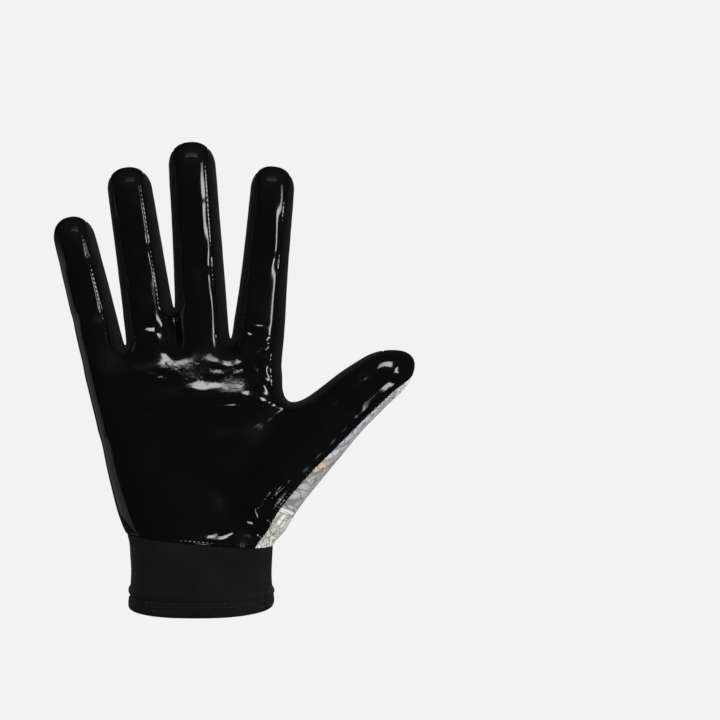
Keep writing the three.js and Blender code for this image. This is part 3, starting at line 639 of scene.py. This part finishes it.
def filmPaint():
    p = Paint("gripFilm")
    place = p.objectPlace()
    crumple = p.layer("crumple")
    coarse = p.noise(place, film["crumpleSize"], 4.0, 0.55)
    fine = p.noise(place, film["crumpleSize"] * 3.2, 3.0, 0.6)
    folded = (coarse * 2 - 1).size() * 0.8 + (fine * 2 - 1).size() * 0.25
    soft = p.noise(place, film["softSize"], 2.0) * 0.175
    line = 1 - p.ramp(0.0, 0.75, (p.layer("edgeDistance") - film["stitchFromEdge"]).size())
    dots = (p.layer("edgeRun") * (2 * pi / film["stitch"])).sine() * 0.5 + 0.5
    height = folded * crumple + soft - line * (dots * 0.05 + 0.05)
    smear = p.noise(place, film["smearSize"], 3.0)
    roughness = film["roughness"] + p.ramp(0.45, 0.7, smear) * 0.05 + crumple * 0.07
    wet = p.surface(film["color"], roughness, height, film["lift"],
                    {"IOR": film["ior"], "Specular IOR Level": film["gloss"]})
    worn = p.surface(film["worn"], film["wornRoughness"], height, film["lift"],
                     {"Specular IOR Level": film["wornGloss"]})
    return p.finish(p.node("ShaderNodeMixShader", inputs={0: p.layer("matte"), 1: wet, 2: worn}))


# Knit with wales and courses, drawn in millimetres on the piece's own map.
knit = {"color": (0.0018, 0.0018, 0.0019), "light": (0.0052, 0.0052, 0.0055), "wale": 0.72, "course": 0.6,
        "rib": 1.44, "ribRow": 1.2, "roughness": 0.82, "lift": 0.00022, "wornSize": 55.0, "fuzzSize": 2600.0}


def knitHeight(u, v):  # rows of V loops: a wave whose phase slants to each wale's middle
    lean = ((u / knit["wale"]).fraction() - 0.5).size()
    loop = ((v / knit["course"] + lean * 1.1) * (2 * pi)).sine() * 0.5 + 0.5
    return loop * (1 - (lean * 2 - 0.5).size() * 0.7)


def knitPaint(name, ribs, dark=1.0):
    p = Paint(name)
    u, v = p.cloth()
    height = knitHeight(u, v)
    if ribs:
        rib, row = [(at * (2 * pi / knit[k])).sine() * 0.5 + 0.5 for at, k in ((u, "rib"), (v, "ribRow"))]
        height = height * 0.5 + rib * 0.4 + row * 0.3
    place = p.objectPlace()
    worn = p.ramp(0.35, 0.75, p.noise(place, knit["wornSize"], 4.0))
    low, high = [tuple(c * dark for c in knit[k]) + (1,) for k in ("color", "light")]
    # Tone lighter in random worn patches and on the raised loops and ribs: real wear, plus painted shade in the
    # hollows between loops and ribs.
    shade = p.blend(worn * 0.5 + height * 0.4, low, high)
    fuzz = p.noise(place, knit["fuzzSize"], 2.0)
    return p.finish(p.surface(shade, knit["roughness"] + fuzz * 0.12, height + fuzz * 0.3, knit["lift"],
                              {"Sheen Weight": 0.03, "Sheen Roughness": 0.4, "Specular IOR Level": 0.2}))


# Printed knit: scattered slips of engraved paper, each with a rim, hatching and a rosette, and no writing.
# A row of slips is its angle, width, height and seed, in degrees and millimetres.
printed = {"ink": (0.10, 0.10, 0.115, 1), "ochre": (0.62, 0.42, 0.20, 1), "blue": (0.26, 0.27, 0.60, 1),
           "shadow": (0.12, 0.12, 0.12, 1), "roughness": 0.78, "lift": 0.00016, "margin": 2.2, "rosette": 6.6,
           "tints": [(0.74, 0.70, 0.77), (0.56, 0.56, 0.50), (0.42, 0.41, 0.45), (0.84, 0.80, 0.87),
                     (0.24, 0.24, 0.26), (0.66, 0.66, 0.57)],
           "slips": [(24.0, 44.0, 19.0, 0.31), (-37.0, 38.0, 17.0, 0.62), (68.0, 50.0, 21.0, 0.17)]}


def slipLayer(p, u, v, angle, width, height, seed):  # two random numbers of the slip here, and its ink
    c, s = np.cos(angle * degree), np.sin(angle * degree)
    a, b = (u * c + v * s) / width + seed, (v * c - u * s) / height + seed * 7
    row = b.floor()
    a = a + row * 0.37
    pick, pick2 = [p.node("ShaderNodeTexWhiteNoise", {"noise_dimensions": "3D"}, {"Vector": cell})
                   for cell in (p.join(a.floor(), row, seed * 10), p.join(row, a.floor(), seed * 23))]
    x, y = (a.fraction() - 0.5) * width, (b.fraction() - 0.5) * height
    rim = (x.size() - (width / 2 - printed["margin"])).higher(y.size() - (height / 2 - printed["margin"]))
    frameLine = 1 - p.ramp(0.16, 0.42, rim.size())
    edgeLine = p.ramp(1.75, 2.15, rim)
    warp = p.noise(p.join(x * 0.05 + pick * 9, y * 0.05), 1.0, 2.0) * 9
    hatch = p.ramp(0.45, 0.85, (y * 6.4 + (x * 0.35 + pick * 6).sine() * 3 + warp).sine() * 0.5 + 0.5)
    cx = x - (pick - 0.5) * width * 0.45
    length = p.node("ShaderNodeVectorMath", {"operation": "LENGTH"}, {0: p.join(cx, y)}, output=1)
    petals = (cx.math("ARCTAN2", y) * 12).sine() * 1.6
    rings = (length * 4.6 + petals).sine() * 0.5 + 0.5
    disc = p.ramp(printed["rosette"], printed["rosette"] - 0.4, length)
    patchy = p.ramp(0.35, 0.55, p.noise(p.join(x, y), 0.09, 2.0))
    ink = p.ramp(0.5, 0.8, rings) * disc + hatch * (1 - disc) * patchy
    stroke = p.noise(p.join(x * 0.5 + y * 0.35 + pick * 30, y * 0.4 - x * 0.3), 0.33, 1.5)
    stroke = 1 - p.ramp(0.012, 0.03, (stroke - 0.5).size())
    ink = ink * p.ramp(0.2, -0.3, rim) + frameLine + edgeLine * 0.8 + stroke * pick2.above(0.55)
    return pick, pick2, ink.clamped()


def printPaint():  # layers of slips over each other, with stains of ochre and blue
    p = Paint("printedKnit")
    u, v = p.cloth()
    stops = [(k / len(printed["tints"]), tint) for k, tint in enumerate(printed["tints"])]
    color = inkAll = None
    for slips in printed["slips"]:
        pick, pick2, ink = slipLayer(p, u, v, *slips)
        tint = p.node("ShaderNodeValToRGB", {"stops": stops}, {0: pick})
        if color is None:
            color, inkAll = tint, ink
        else:
            shown = pick2.above(0.46)
            color, inkAll = p.blend(shown, color, tint), ink * shown + inkAll * (1 - shown)
    for stain, size, place, low in (("ochre", 0.045, 3.0, 0.62), ("blue", 0.05, 11.0, 0.64)):
        patch = p.ramp(low, low + 0.1, p.noise(p.join(u * size, v * size, place), 1.0, 1.0))
        color = p.blend(patch * 0.55, color, printed[stain])
    color = p.blend(inkAll * 0.72, color, printed["ink"])
    wales = knitHeight(u, v)
    color = p.blend(0.16 * (1 - wales), color, printed["shadow"])
    return p.finish(p.surface(color, printed["roughness"] + wales * 0.1, wales, printed["lift"],
                              {"Sheen Weight": 0.08, "Specular IOR Level": 0.3}))


thread = {"color": (0.0012, 0.0012, 0.0013, 1), "light": (0.004, 0.004, 0.0042, 1), "twist": 9000.0,
          "roughness": 0.7, "lift": 0.00005}


def threadPaint():
    p = Paint("sewingThread")
    x, y, z = p.split(p.objectPlace())
    twist = ((x + y + z) * thread["twist"]).sine() * 0.5 + 0.5
    # Lighter along the raised plies of the twist: painted highlight on the plies and painted shade in the
    # grooves between them.
    return p.finish(p.surface(p.blend(twist, thread["color"], thread["light"]), thread["roughness"], twist,
                              thread["lift"]))


paints = {"film": filmPaint(), "side": knitPaint("sideKnit", False, 0.45), "cuff": knitPaint("cuffKnit", True),
          "print": printPaint(), "thread": threadPaint()}
print("materials ready")

# Studio: tones of background and fill, and in metres the floor's height, the camera's distance and place
# across and up, and the width of the picture, which is so many pixels wide.
studio = {"pale": 0.888, "dim": (0.05, 0.05, 0.052, 1), "floor": -0.30, "distance": 0.60,
          "view": (0.0778, 0.1222), "frame": 0.3541, "pixels": 720}
# Softboxes that the film mirrors: place and target in metres, width, height and watts.
softboxes = {"stripBox": ((0.62, -0.92, 0.14), (0.0, 0, 0.12), 0.15, 0.34, 2.2),
             "highBox": ((-0.02, -0.9, 0.66), (0.0, 0, 0.1), 0.5, 0.34, 7.1),
             "lowBox": ((0.47, -0.72, -0.52), (0.05, 0, 0.09), 0.1, 0.1, 0.42),
             "lipBox": ((-0.113, -0.70, -0.35), (0, 0, 0.03), 0.05, 0.16, 0.34)}
# Glints on the film, placed for each softbox: from x, y to x, y in pixels, and the half width of
# the fold there in millimetres.
glints = {
    "highBox": [
        [190, 384, 220, 384.6, 2.3], [157.5, 377, 165, 377.5, 1.8], [164, 358, 173, 357.5, 1.5],
        [172, 362, 185, 362.5, 1.6], [213, 371, 219, 371.5, 2.2], [224, 364, 228, 364, 1.8],
        [233, 364, 238, 363, 1.8], [236, 371, 242, 370.5, 1.6], [257.5, 352, 260.5, 352, 1.4],
        [261.5, 348.5, 264.5, 348.5, 1.4], [265.5, 345, 268.5, 345, 1.4], [245, 394, 274, 393.6, 1.6],
        [216, 405.7, 255, 403.7, 1.3], [182, 409.5, 199, 407.6, 1.3], [265, 406.3, 279, 400.6, 1.2],
        [275, 409.8, 291, 408.3, 1.2], [150.5, 373.2, 154, 372.8, 1.3], [143.6, 415, 150.5, 413.9, 1.3],
        [241, 331, 250, 333.8, 1.4], [261, 336.5, 268, 339.5, 1.4], [258, 325.5, 263, 325.5, 1.8],
        [148.5, 329.5, 154, 329.5, 2.6], [209.5, 537, 216, 534.6, 1.2], [215, 538.6, 224, 536.5, 1.2],
        [223, 538.4, 232, 533.5, 1.2]],
    "stripBox": [
        [251.5, 362, 257, 369.5, 1.8], [268, 355, 268.5, 364, 1.9], [273.5, 354, 274.5, 370, 1.9],
        [265, 375, 276, 388.5, 1.7], [391.5, 374.4, 405.5, 359.5, 1.4], [405, 370, 411.5, 362.6, 1.2]],
    "lowBox": [
        [258, 507.8, 271, 491.5, 1.5], [262, 507.4, 287, 482, 1.4], [376, 394, 382.5, 386, 1.3],
        [381, 394, 396.5, 381, 1.4], [363, 403.3, 367.5, 400.4, 1.2]]}
# Broad folds that turn the film away from the softboxes: the same, and the slope across.
quietFolds = [[244, 438, 262, 432, 6.0, 0.15], [146, 358, 158, 357, 6.0, 0.16],
              [225, 479, 243, 482, 8.0, 0.14], [246, 420, 272, 413, 7.0, 0.16]]
# Spots of finely crumpled film and of duller film: centre x, z, half widths and amount.
crumpleSpots = [[-4, 116.5, 13, 4.5, 1.0], [16, 116, 8, 5, 0.5], [15, 107.5, 5, 2, 0.6],
                [10, 37.5, 6, 2, 0.3], [36, 56, 8, 5, 0.25]]
dullSpots = [[14, 126.5, 13, 5, 1.0], [-1, 123.4, 4, 2.6, 0.95], [10.5, 121.6, 1.8, 2.4, 0.95],
             [16.5, 121.2, 1.6, 2, 0.9], [15.5, 111.5, 5, 2.6, 0.55], [-43, 122, 8, 8, 1.0],
             [-12.3, 133, 5.5, 7, 1.0], [23, 36.5, 5.5, 4.5, 1.0], [83, 122, 6, 5, 0.8],
             [82, 103.5, 5, 5, 0.9], [35, 47.5, 4.5, 5, 0.7], [49, 66.3, 7, 7, 1.0], [55, 73, 7, 7, 1.0],
             [61, 80, 7, 7, 1.0], [67.3, 87, 7, 7, 1.0], [73, 92, 6, 6, 1.0], [27, 88, 6, 5, 1.0],
             [32, 92, 5.5, 4.5, 1.0], [36, 95.3, 4.5, 3.2, 1.0]]
# Joints up each limb, as shares of its length: the film dips across them.
joints = {"little": (0.53, 0.8), "ring": (0.7, 0.9), "middle": (0.56, 0.8), "index": (0.63, 0.83),
          "thumb": (0.62, 0.8)}
# Heights and wavelengths of the film's relief, in millimetres.
relief = {"crumple": 0.3, "crumpleWave": 5.2, "soft": 0.1, "softWave": 17.0, "streak": 0.07, "streakWave": 6.4,
          "fan": 0.16, "fanAt": (44, 101), "joint": 0.36, "jointWidth": 3.4, "edge": 1.6,
          "backSoft": 0.2, "backWave": 26, "backEdge": 2, "stripLift": 0.08, "stripWave": 9,
          "tipDull": (24, 5), "tipHalf": 14}


def ripple(x, z, count, wave, seed):  # waves in random directions, added up
    r = np.random.default_rng(seed)
    turn, phase = r.uniform(0, pi, count), r.uniform(0, 2 * pi, count)
    length = wave * r.uniform(0.7, 1.5, count)
    return np.cos((x[:, None] * np.cos(turn) + z[:, None] * np.sin(turn)) * 2 * pi / length + phase).mean(1)


def limbFolds(x, z, seed):  # lengthwise streaks and cross folds at the joints of every finger and the thumb
    lift = np.zeros_like(x)
    for k, name in enumerate(fingerNames + ["thumb"]):
        limb = limbs[name]
        run, side = limb.place(x, z)
        share = run / limb.length
        inside = softStep(0.16 if k < 4 else 0.3, 0.42, share) * (1 - softStep(0.85, 0.98, share))
        inside = inside * (1 - softStep(0.9, 1.1, np.abs(side) / limb.half(share)))
        wander = 2.2 * np.sin(run / 15 + k * 1.7 + seed) + 1.1 * np.sin(run / 6.1 + k)
        lift += inside * relief["streak"] * np.sin(2 * pi * side / relief["streakWave"] + wander)
        for j, at in enumerate(joints[name]):
            off = (share - at) * limb.length + 0.05 * side ** 2 / 10 + 0.6 * np.sin(side / 2.5 + k)
            lift -= inside * relief["joint"] * np.exp(-(off / relief["jointWidth"]) ** 2) * (1 - 0.45 * j)
    return lift


def spotMask(skin, spots, power):  # the strongest of some oval spots, which fade as exp(-distance^(2 power))
    x, z = skin.points[:, 0], skin.points[:, 2]
    return np.max([amount * np.exp(-(((x - cx) / wide) ** 2 + ((z - cz) / high) ** 2) ** power)
                   for cx, cz, wide, high, amount in spots], 0)


def matteMask(skin):  # duller film in some hollows and on the fingertips
    mask = spotMask(skin, dullSpots, 2)
    low, high = relief["tipDull"]
    for limb in [limbs[name] for name in fingerNames]:
        run, side = limb.place(skin.points[:, 0], skin.points[:, 2])
        tip = softStep(limb.length - low, limb.length - high, run)
        mask = np.maximum(mask, tip * (np.abs(side) < relief["tipHalf"]))
    return mask


def calmRelief(x, z):  # waves, streaks along the limbs and the fan of folds at the thumb's root
    lift = relief["soft"] * ripple(x, z, 9, relief["softWave"], 3) + limbFolds(x, z, 0.0)
    dx, dz = x - relief["fanAt"][0], z - relief["fanAt"][1]
    r, turn = np.hypot(dx, dz), np.arctan2(dz, -dx)
    fan = np.sin(turn * 13 + 0.5 * np.sin(r / 5)) * np.exp(-((r - 15) / 13) ** 2)
    return lift + relief["fan"] * fan * softStep(-1.1, -0.7, turn) * (1 - softStep(1.2, 1.5, turn))


def foldLift(x, z, start, end, width, slope):  # a slope across the line from start to end, fading away from it
    away, _ = segmentDistance(x, z, *start, *end)
    dx, dz = end - start
    across = (dx * (z - start[1]) - dz * (x - start[0])) / np.hypot(dx, dz)
    return slope * across * np.exp(-(away / width) ** 2)


def picturePoints(px, py):  # the palm's points behind pixels, in millimetres
    reach, y = studio["distance"] * metre, form["knuckleDepth"] / -2
    for _ in range(4):
        step = studio["frame"] * metre / studio["pixels"] * (1 + y / reach)
        x = studio["view"][0] * metre + (px - studio["pixels"] / 2) * step
        z = studio["view"][1] * metre - (py - studio["pixels"] / 2) * step
        y = surfacePoints(np.stack([x, z], -1), -1)[:, 1]
    return np.stack([x, y, z], -1)


def filmFolds():  # each fold tilts the film so that the camera sees its softbox, judged at the glint's middle
    plan, unit = [0, 2], lambda rows: rows / np.linalg.norm(rows, axis=1)[:, None]
    onFilm = lambda rows: [picturePoints(rows[:, k], rows[:, k + 1])[:, plan] for k in (0, 2)]
    calm = np.array(quietFolds)
    quiet = list(zip(*onFilm(calm), calm[:, 4], calm[:, 5]))
    rows = np.array([row for boxRows in glints.values() for row in boxRows])
    lamps = np.array([softboxes[name][0] for name, boxRows in glints.items() for _ in boxRows]) * metre
    eye = np.array([studio["view"][0], -studio["distance"], studio["view"][1]]) * metre
    starts, ends = onFilm(rows)
    middles = picturePoints((rows[:, 0] + rows[:, 2]) / 2, (rows[:, 1] + rows[:, 3]) / 2)
    sides, spots = unit((ends - starts)[:, [1, 0]] * [-1, 1]), middles[:, plan]

    def depth(places):
        x, z = places.T
        return surfacePoints(places, -1)[:, 1] - calmRelief(x, z) - sum(foldLift(x, z, *fold) for fold in quiet)

    slopesNow = (depth(spots + 0.6 * sides) - depth(spots - 0.6 * sides)) / 1.2
    halfway = unit(lamps - middles) + unit(eye - middles)
    goals = slopesNow + (halfway[:, plan] * sides).sum(1) / halfway[:, 1]
    # Neighbours overlap, so all slopes are found at once, by damped least squares.
    lines = list(zip(starts, ends, rows[:, 4]))
    ahead, behind = (spots + 0.1 * sides).T, (spots - 0.1 * sides).T
    pull = np.stack([foldLift(*ahead, *line, 1) - foldLift(*behind, *line, 1) for line in lines], -1) / 0.2
    slopes = np.linalg.solve(pull.T @ pull + 0.05 * np.eye(len(lines)), pull.T @ goals)
    return [(*line, slope) for line, slope in zip(lines, slopes)] + quiet


def filmRelief(skin):
    x, z = skin.points[:, 0], skin.points[:, 2]
    lift = calmRelief(x, z) + sum(foldLift(x, z, *fold) for fold in filmFolds())
    crumple = np.abs(ripple(x, z * 1.3, 12, relief["crumpleWave"], 21)) - 0.15
    lift += relief["crumple"] * spotMask(skin, crumpleSpots, 1) * crumple
    return lift * np.minimum(skin.edgeDistance / relief["edge"], 1)


def wrapCoords(skin, radius=10.0):
    # The print laid over the edge: the plan position pushed out by the bend that it goes round.
    n = skin.normals
    flat = np.hypot(n[:, 0], n[:, 2])
    turn = np.arctan2(flat, n[:, 1])
    push = radius * (turn - np.sin(turn)) / np.maximum(flat, 1e-6)
    return (skin.points[:, [0, 2]] + n[:, [0, 2]] * push[:, None]) / mapUnit


panelFlips = [False] * 5 + [True]
palm = Skin(faceGrids(-1), panelFlips)
sewPiece("palmFilm", palm, seams["palmWall"], filmRelief(palm), palm.points[:, [0, 2]] / mapUnit,
         {"crumple": spotMask(palm, crumpleSpots, 1), "matte": matteMask(palm)}, paints["film"], "palm_panel")

wrapInset = seams["wrap"] * np.r_[heelShare[::-1], wrapShare]
wrapGrid = stripGrid(heelEdge[::-1] + thumbLower, wrapInset, wrapInset, np.linspace(-1, 0, detail["wrap"] + 1))
back = Skin(faceGrids(1) + [wrapGrid], [not flip for flip in panelFlips] + [False])
bx, bz = back.points[:, 0], back.points[:, 2]
backLift = relief["backSoft"] * ripple(bx, bz, 9, relief["backWave"], 11) + 0.6 * limbFolds(bx, bz, 2.0)
backLift *= np.minimum(back.edgeDistance / relief["backEdge"], 1)
sewPiece("printedBack", back, seams["backWall"], backLift, wrapCoords(back), {}, paints["print"], "back_panel")


def sewStrip(name, line, front, backInset, node):
    marks = np.linspace(-1, 1, detail["strip"] + 1)
    grid = stripGrid(line, front, backInset, np.sign(marks) * np.abs(marks) ** 0.9)
    travel = lambda axis: np.cumsum(np.r_[0, np.linalg.norm(np.diff(grid, axis=axis), axis=2).mean(1 - axis)])
    coords = np.stack(np.meshgrid(travel(1), travel(0)), -1) / mapUnit
    skin = Skin([grid], [True], [coords])
    lift = relief["stripLift"] * ripple(skin.points[:, 2], skin.points[:, 1], 6, relief["stripWave"], 5)
    lift *= np.minimum(skin.edgeDistance / relief["backEdge"], 1)
    sewPiece(name, skin, seams["sideWall"], lift, skin.coords, {}, paints["side"], node)


for i, (low, high) in enumerate(zip(fingerNames, fingerNames[1:])):
    down, up = fingerSides[i][1], fingerSides[i + 1][0]
    share = np.concatenate([taper(down)[::-1], gapBulge, taper(up)])
    sewStrip("side" + low.title() + high.title(), down[::-1] + gapLines[i] + up, share * seams["sideFront"],
             share * seams["sideBack"], f"fourchette_{low}_{high}")
outer = fingerSides[3][1]
share = np.concatenate([taper(outer)[::-1], np.ones(detail["web"]), taper(thumbUpper)])
sewStrip("thumbWeb", outer[::-1] + indexToWeb + thumbUpper, share * seams["webFront"], share * seams["sideBack"],
         "thumb_gusset")

# The cuff: a ribbed tube gathered by its hem, which is a doubled, stitched band.
cuff = {"wall": 1.6, "ridge": 0.9, "sideLift": 1.5, "gather": 0.22, "gathers": 34, "hemWall": 3.0, "around": 188,
        "seamGap": 0.1, "lipRows": 28, "stitchHeight": 5.2, "stitches": 84, "stitchLength": 1.5,
        "stitchRadius": 0.27}
turns = evenSteps(detail["ring"])[:-1] * 2 * pi
around = turns / (2 * pi) * cuff["around"]


def ringPoints(heights):  # heights: a function of x for each row; points found along rays from the middle
    rows = []
    for height in heights:
        r = np.full_like(turns, form["wristWidth"] / 2)
        for _ in range(4):
            z = height(r * np.cos(turns))
            r = halve(np.zeros_like(turns), np.full_like(turns, form["wristWidth"]),
                      lambda m: formValue(m * np.cos(turns), z, m * np.sin(turns)))
        x, z = r * np.cos(turns), height(r * np.cos(turns))
        rows.append(np.stack([x, r * np.sin(turns) + middleDepth(x, z) * softStep(14, 30, z), z], -1))
    return np.stack(rows)


def ringMesh(name, profile, uv, node):  # rows of rings, the last of which meets the first
    rows, count = profile.shape[:2]
    ids = np.arange(rows * count).reshape(rows, count)
    upper = np.roll(ids, -1, 0)
    faces = np.stack([ids, np.roll(ids, -1, 1), np.roll(upper, -1, 1), upper], -1).reshape(-1, 4)
    putMesh(name, profile.reshape(-1, 3), faces, uv.reshape(-1, 2), None, paints["cuff"], node)


def ringNormals(ring):
    n = outward(ring.reshape(-1, 3)).reshape(ring.shape)
    n[..., 2] = 0
    return n / np.linalg.norm(n, axis=-1)[..., None]


foot = form["hemHeight"] + cuff["seamGap"]
bandTop = lambda x: form["cuffHeight"] + form["cuffTilt"] * x - 0.08
bandRows = closeSteps(detail["cuffRows"], True, True)
band = ringPoints([lambda x, t=t: between(foot, bandTop(x), t) for t in bandRows])
bandNormals = ringNormals(band)
nearHem = np.exp(-(band[..., 2] - foot) / 4.5)
gather = cuff["gather"] * nearHem * np.sin(turns * cuff["gathers"] + 1.3 * np.sin(turns * 5))
sag = 0.12 * np.sin(band[..., 2] / 3.4 + 2 * np.sin(turns * 3)) * (1 - nearHem)
fromTop, fromFoot = [(share * cuff["lipRows"])[:, None] for share in (1 - bandRows, bandRows)]
lip = 0.45 * np.exp(-(fromTop / 0.9) ** 1.5) + 0.35 * np.exp(-(fromFoot / 0.8) ** 1.5)
sides = np.abs(np.cos(turns)) ** 4  # a ridge above the hem, clearest at the sides
ridgeHeight = np.where(np.cos(turns) < 0, 10.4, 8.6)
ridge = (cuff["ridge"] * sides + 0.2) * np.exp(-((band[..., 2] - ridgeHeight) / 1.5) ** 2)
outerBand = band + bandNormals * (gather + sag + ridge - lip)[..., None]
innerBand = band - bandNormals * cuff["wall"]
bandUv = np.stack(np.broadcast_arrays(around, band[..., 2]), -1) / mapUnit
ringMesh("ribbedCuff", np.concatenate([outerBand, innerBand[::-1]]), np.concatenate([bandUv, bandUv[::-1]]),
         "cuff_band")

hemRing = ringPoints([lambda x: form["hemHeight"] / 2 + 0 * x])[0]
hemNormals = ringNormals(hemRing)
# Half round at the foot, flat outside with a stitched channel, rounded at the top. Columns: outward, up.
sweep = np.linspace(0, 2 * pi, 41)[:-1]
squareness = np.where(np.sin(sweep) < 0, 0.7, 0.42)
hemOut, hemUp = [np.sign(wave) * np.abs(wave) ** squareness for wave in (np.cos(sweep), np.sin(sweep))]
hemOut = hemOut * cuff["hemWall"] / 2 + form["hemProud"] - cuff["hemWall"] / 2
hemUp = hemUp * form["hemHeight"] / 2 + form["hemHeight"] / 2
channel = 0.3 * np.exp(-((hemUp - cuff["stitchHeight"]) / 0.5) ** 2) * (hemOut > 0)
swell = 0.16 * np.sin(turns * cuff["gathers"] * 1.5 + np.sin(turns * 7))
swellShare = (hemOut > 0) * np.sin(pi * np.clip(hemUp / form["hemHeight"], 0, 1))
hemLift = (hemOut - channel)[:, None] + swell * swellShare[:, None]
hemPoints = hemRing + hemNormals * hemLift[..., None]
footShare = np.clip(1 - hemUp / form["hemHeight"], 0, 1)
hemPoints[..., 2] = hemUp[:, None] + cuff["sideLift"] * sides * footShare[:, None]
hemUv = np.stack(np.broadcast_arrays(around, np.cumsum(np.full(40, 0.45))[:, None]), -1) / mapUnit
ringMesh("cuffHem", hemPoints[::-1], hemUv[::-1], "cuff_hem")


def stitchMesh(name, places, along, up, length, radius):  # short thread bodies, ellipsoids of 8 by 6
    a, b = np.meshgrid(np.linspace(0, pi, 7), np.arange(8) / 8 * 2 * pi, indexing="ij")
    parts = [np.cos(a) * length / 2, np.sin(a) * np.cos(b) * radius, np.sin(a) * np.sin(b) * radius]
    axes = [along, np.cross(up, along), up]
    bodies = sum(part.ravel()[None, :, None] * axis[:, None] for part, axis in zip(parts, axes))
    ids = np.arange(a.size).reshape(a.shape)
    around = np.roll(ids, -1, 1)
    quads = np.stack([ids[:-1], around[:-1], around[1:], ids[1:]], -1).reshape(-1, 4)
    faces = (quads[None] + (np.arange(len(places)) * a.size)[:, None, None]).reshape(-1, 4)
    points = (places[:, None] + bodies).reshape(-1, 3)
    putMesh(name, points, faces, None, None, paints["thread"], None)


marks = (np.arange(cuff["stitches"]) + 0.5) / cuff["stitches"] * detail["ring"]
closed = lambda column: np.interp(marks, np.arange(detail["ring"] + 1), np.r_[column, column[:1]])
onRing = lambda rows: np.stack([closed(column) for column in rows.T], -1)
stitchPlaces = onRing(hemRing + hemNormals * (form["hemProud"] - 0.16))
stitchPlaces[:, 2] = cuff["stitchHeight"]
stitchUp = onRing(hemNormals)
stitchAlong = np.stack([-stitchUp[:, 1], stitchUp[:, 0], stitchUp[:, 2] * 0], -1)
stitchMesh("hemStitches", stitchPlaces, stitchAlong, stitchUp, cuff["stitchLength"], cuff["stitchRadius"])
print("cuff ready")

# Lamps that fill in: whether the film mirrors them, and the same values as the softboxes have.
fills = {"printFill": (False, (0.8, -0.5, -0.1), (0.05, 0, 0.08), 0.4, 0.4, 10),
         "topFill": (False, (-0.1, -0.15, 1.0), (0.05, 0, 0.1), 0.5, 0.5, 5),
         "leftCard": (True, (-1.1, 0.1, 0.1), (0, 0, 0.1), 1.0, 0.8, 0.95),
         "backBox": (False, (0.4, 0.9, 0.6), (0, 0, 0.12), 0.8, 0.8, 12),
         "backFill": (False, (-0.7, 0.8, 0.2), (0, 0, 0.12), 0.8, 0.8, 7)}


def areaLight(name, mirrored, place, target, width, height, power):
    light = bpy.data.lights.new(name, "AREA")
    light.shape, light.size, light.size_y, light.energy = "RECTANGLE", width, height, power
    lamp = bpy.data.objects.new(name, light)
    bpy.context.collection.objects.link(lamp)
    lamp.location, lamp.visible_glossy = place, mirrored
    aim = Vector(np.subtract(target, place))
    lamp.rotation_euler = aim.to_track_quat("-Z", "Y").to_euler()


for name, box in softboxes.items():
    areaLight(name, True, *box)
for name, fill in fills.items():
    areaLight(name, *fill)

paleTone = (studio["pale"],) * 3 + (1,)
world = bpy.data.worlds.new("studio")
bpy.context.scene.world = world
world.use_nodes = True
tree = world.node_tree
tree.nodes.clear()
pale, dim, rays, mix, out = [tree.nodes.new("ShaderNode" + kind) for kind in (
    "Background", "Background", "LightPath", "MixShader", "OutputWorld")]
pale.inputs[0].default_value, dim.inputs[0].default_value = paleTone, studio["dim"]
tree.links.new(rays.outputs["Is Camera Ray"], mix.inputs[0])
tree.links.new(dim.outputs[0], mix.inputs[1])
tree.links.new(pale.outputs[0], mix.inputs[2])
tree.links.new(mix.outputs[0], out.inputs[0])

floorPaint = Paint("paleFloor")
floorPaint.finish(floorPaint.node("ShaderNodeEmission", inputs={0: paleTone}))
floorMesh = bpy.data.meshes.new("floor")
spin = np.arange(64) / 64 * 2 * pi
rim = [(2.5 * np.cos(t), 2.5 * np.sin(t), studio["floor"]) for t in spin]
floorMesh.from_pydata(rim, [], [tuple(range(64))])
floorMesh.materials.append(floorPaint.material)
floorPiece = bpy.data.objects.new("floor", floorMesh)
bpy.context.collection.objects.link(floorPiece)
floorPiece.visible_diffuse = floorPiece.visible_glossy = False

lens = bpy.data.cameras.new("view")
lens.sensor_fit, lens.sensor_width, lens.clip_start = "HORIZONTAL", 36, 0.01
lens.lens = 36 * studio["distance"] / studio["frame"]
camera = bpy.data.objects.new("view", lens)
bpy.context.collection.objects.link(camera)
camera.location = (studio["view"][0], -studio["distance"], studio["view"][1])
camera.rotation_euler = (pi / 2, 0, 0)
bpy.context.scene.camera = camera
bpy.context.scene.view_settings.view_transform = "Standard"
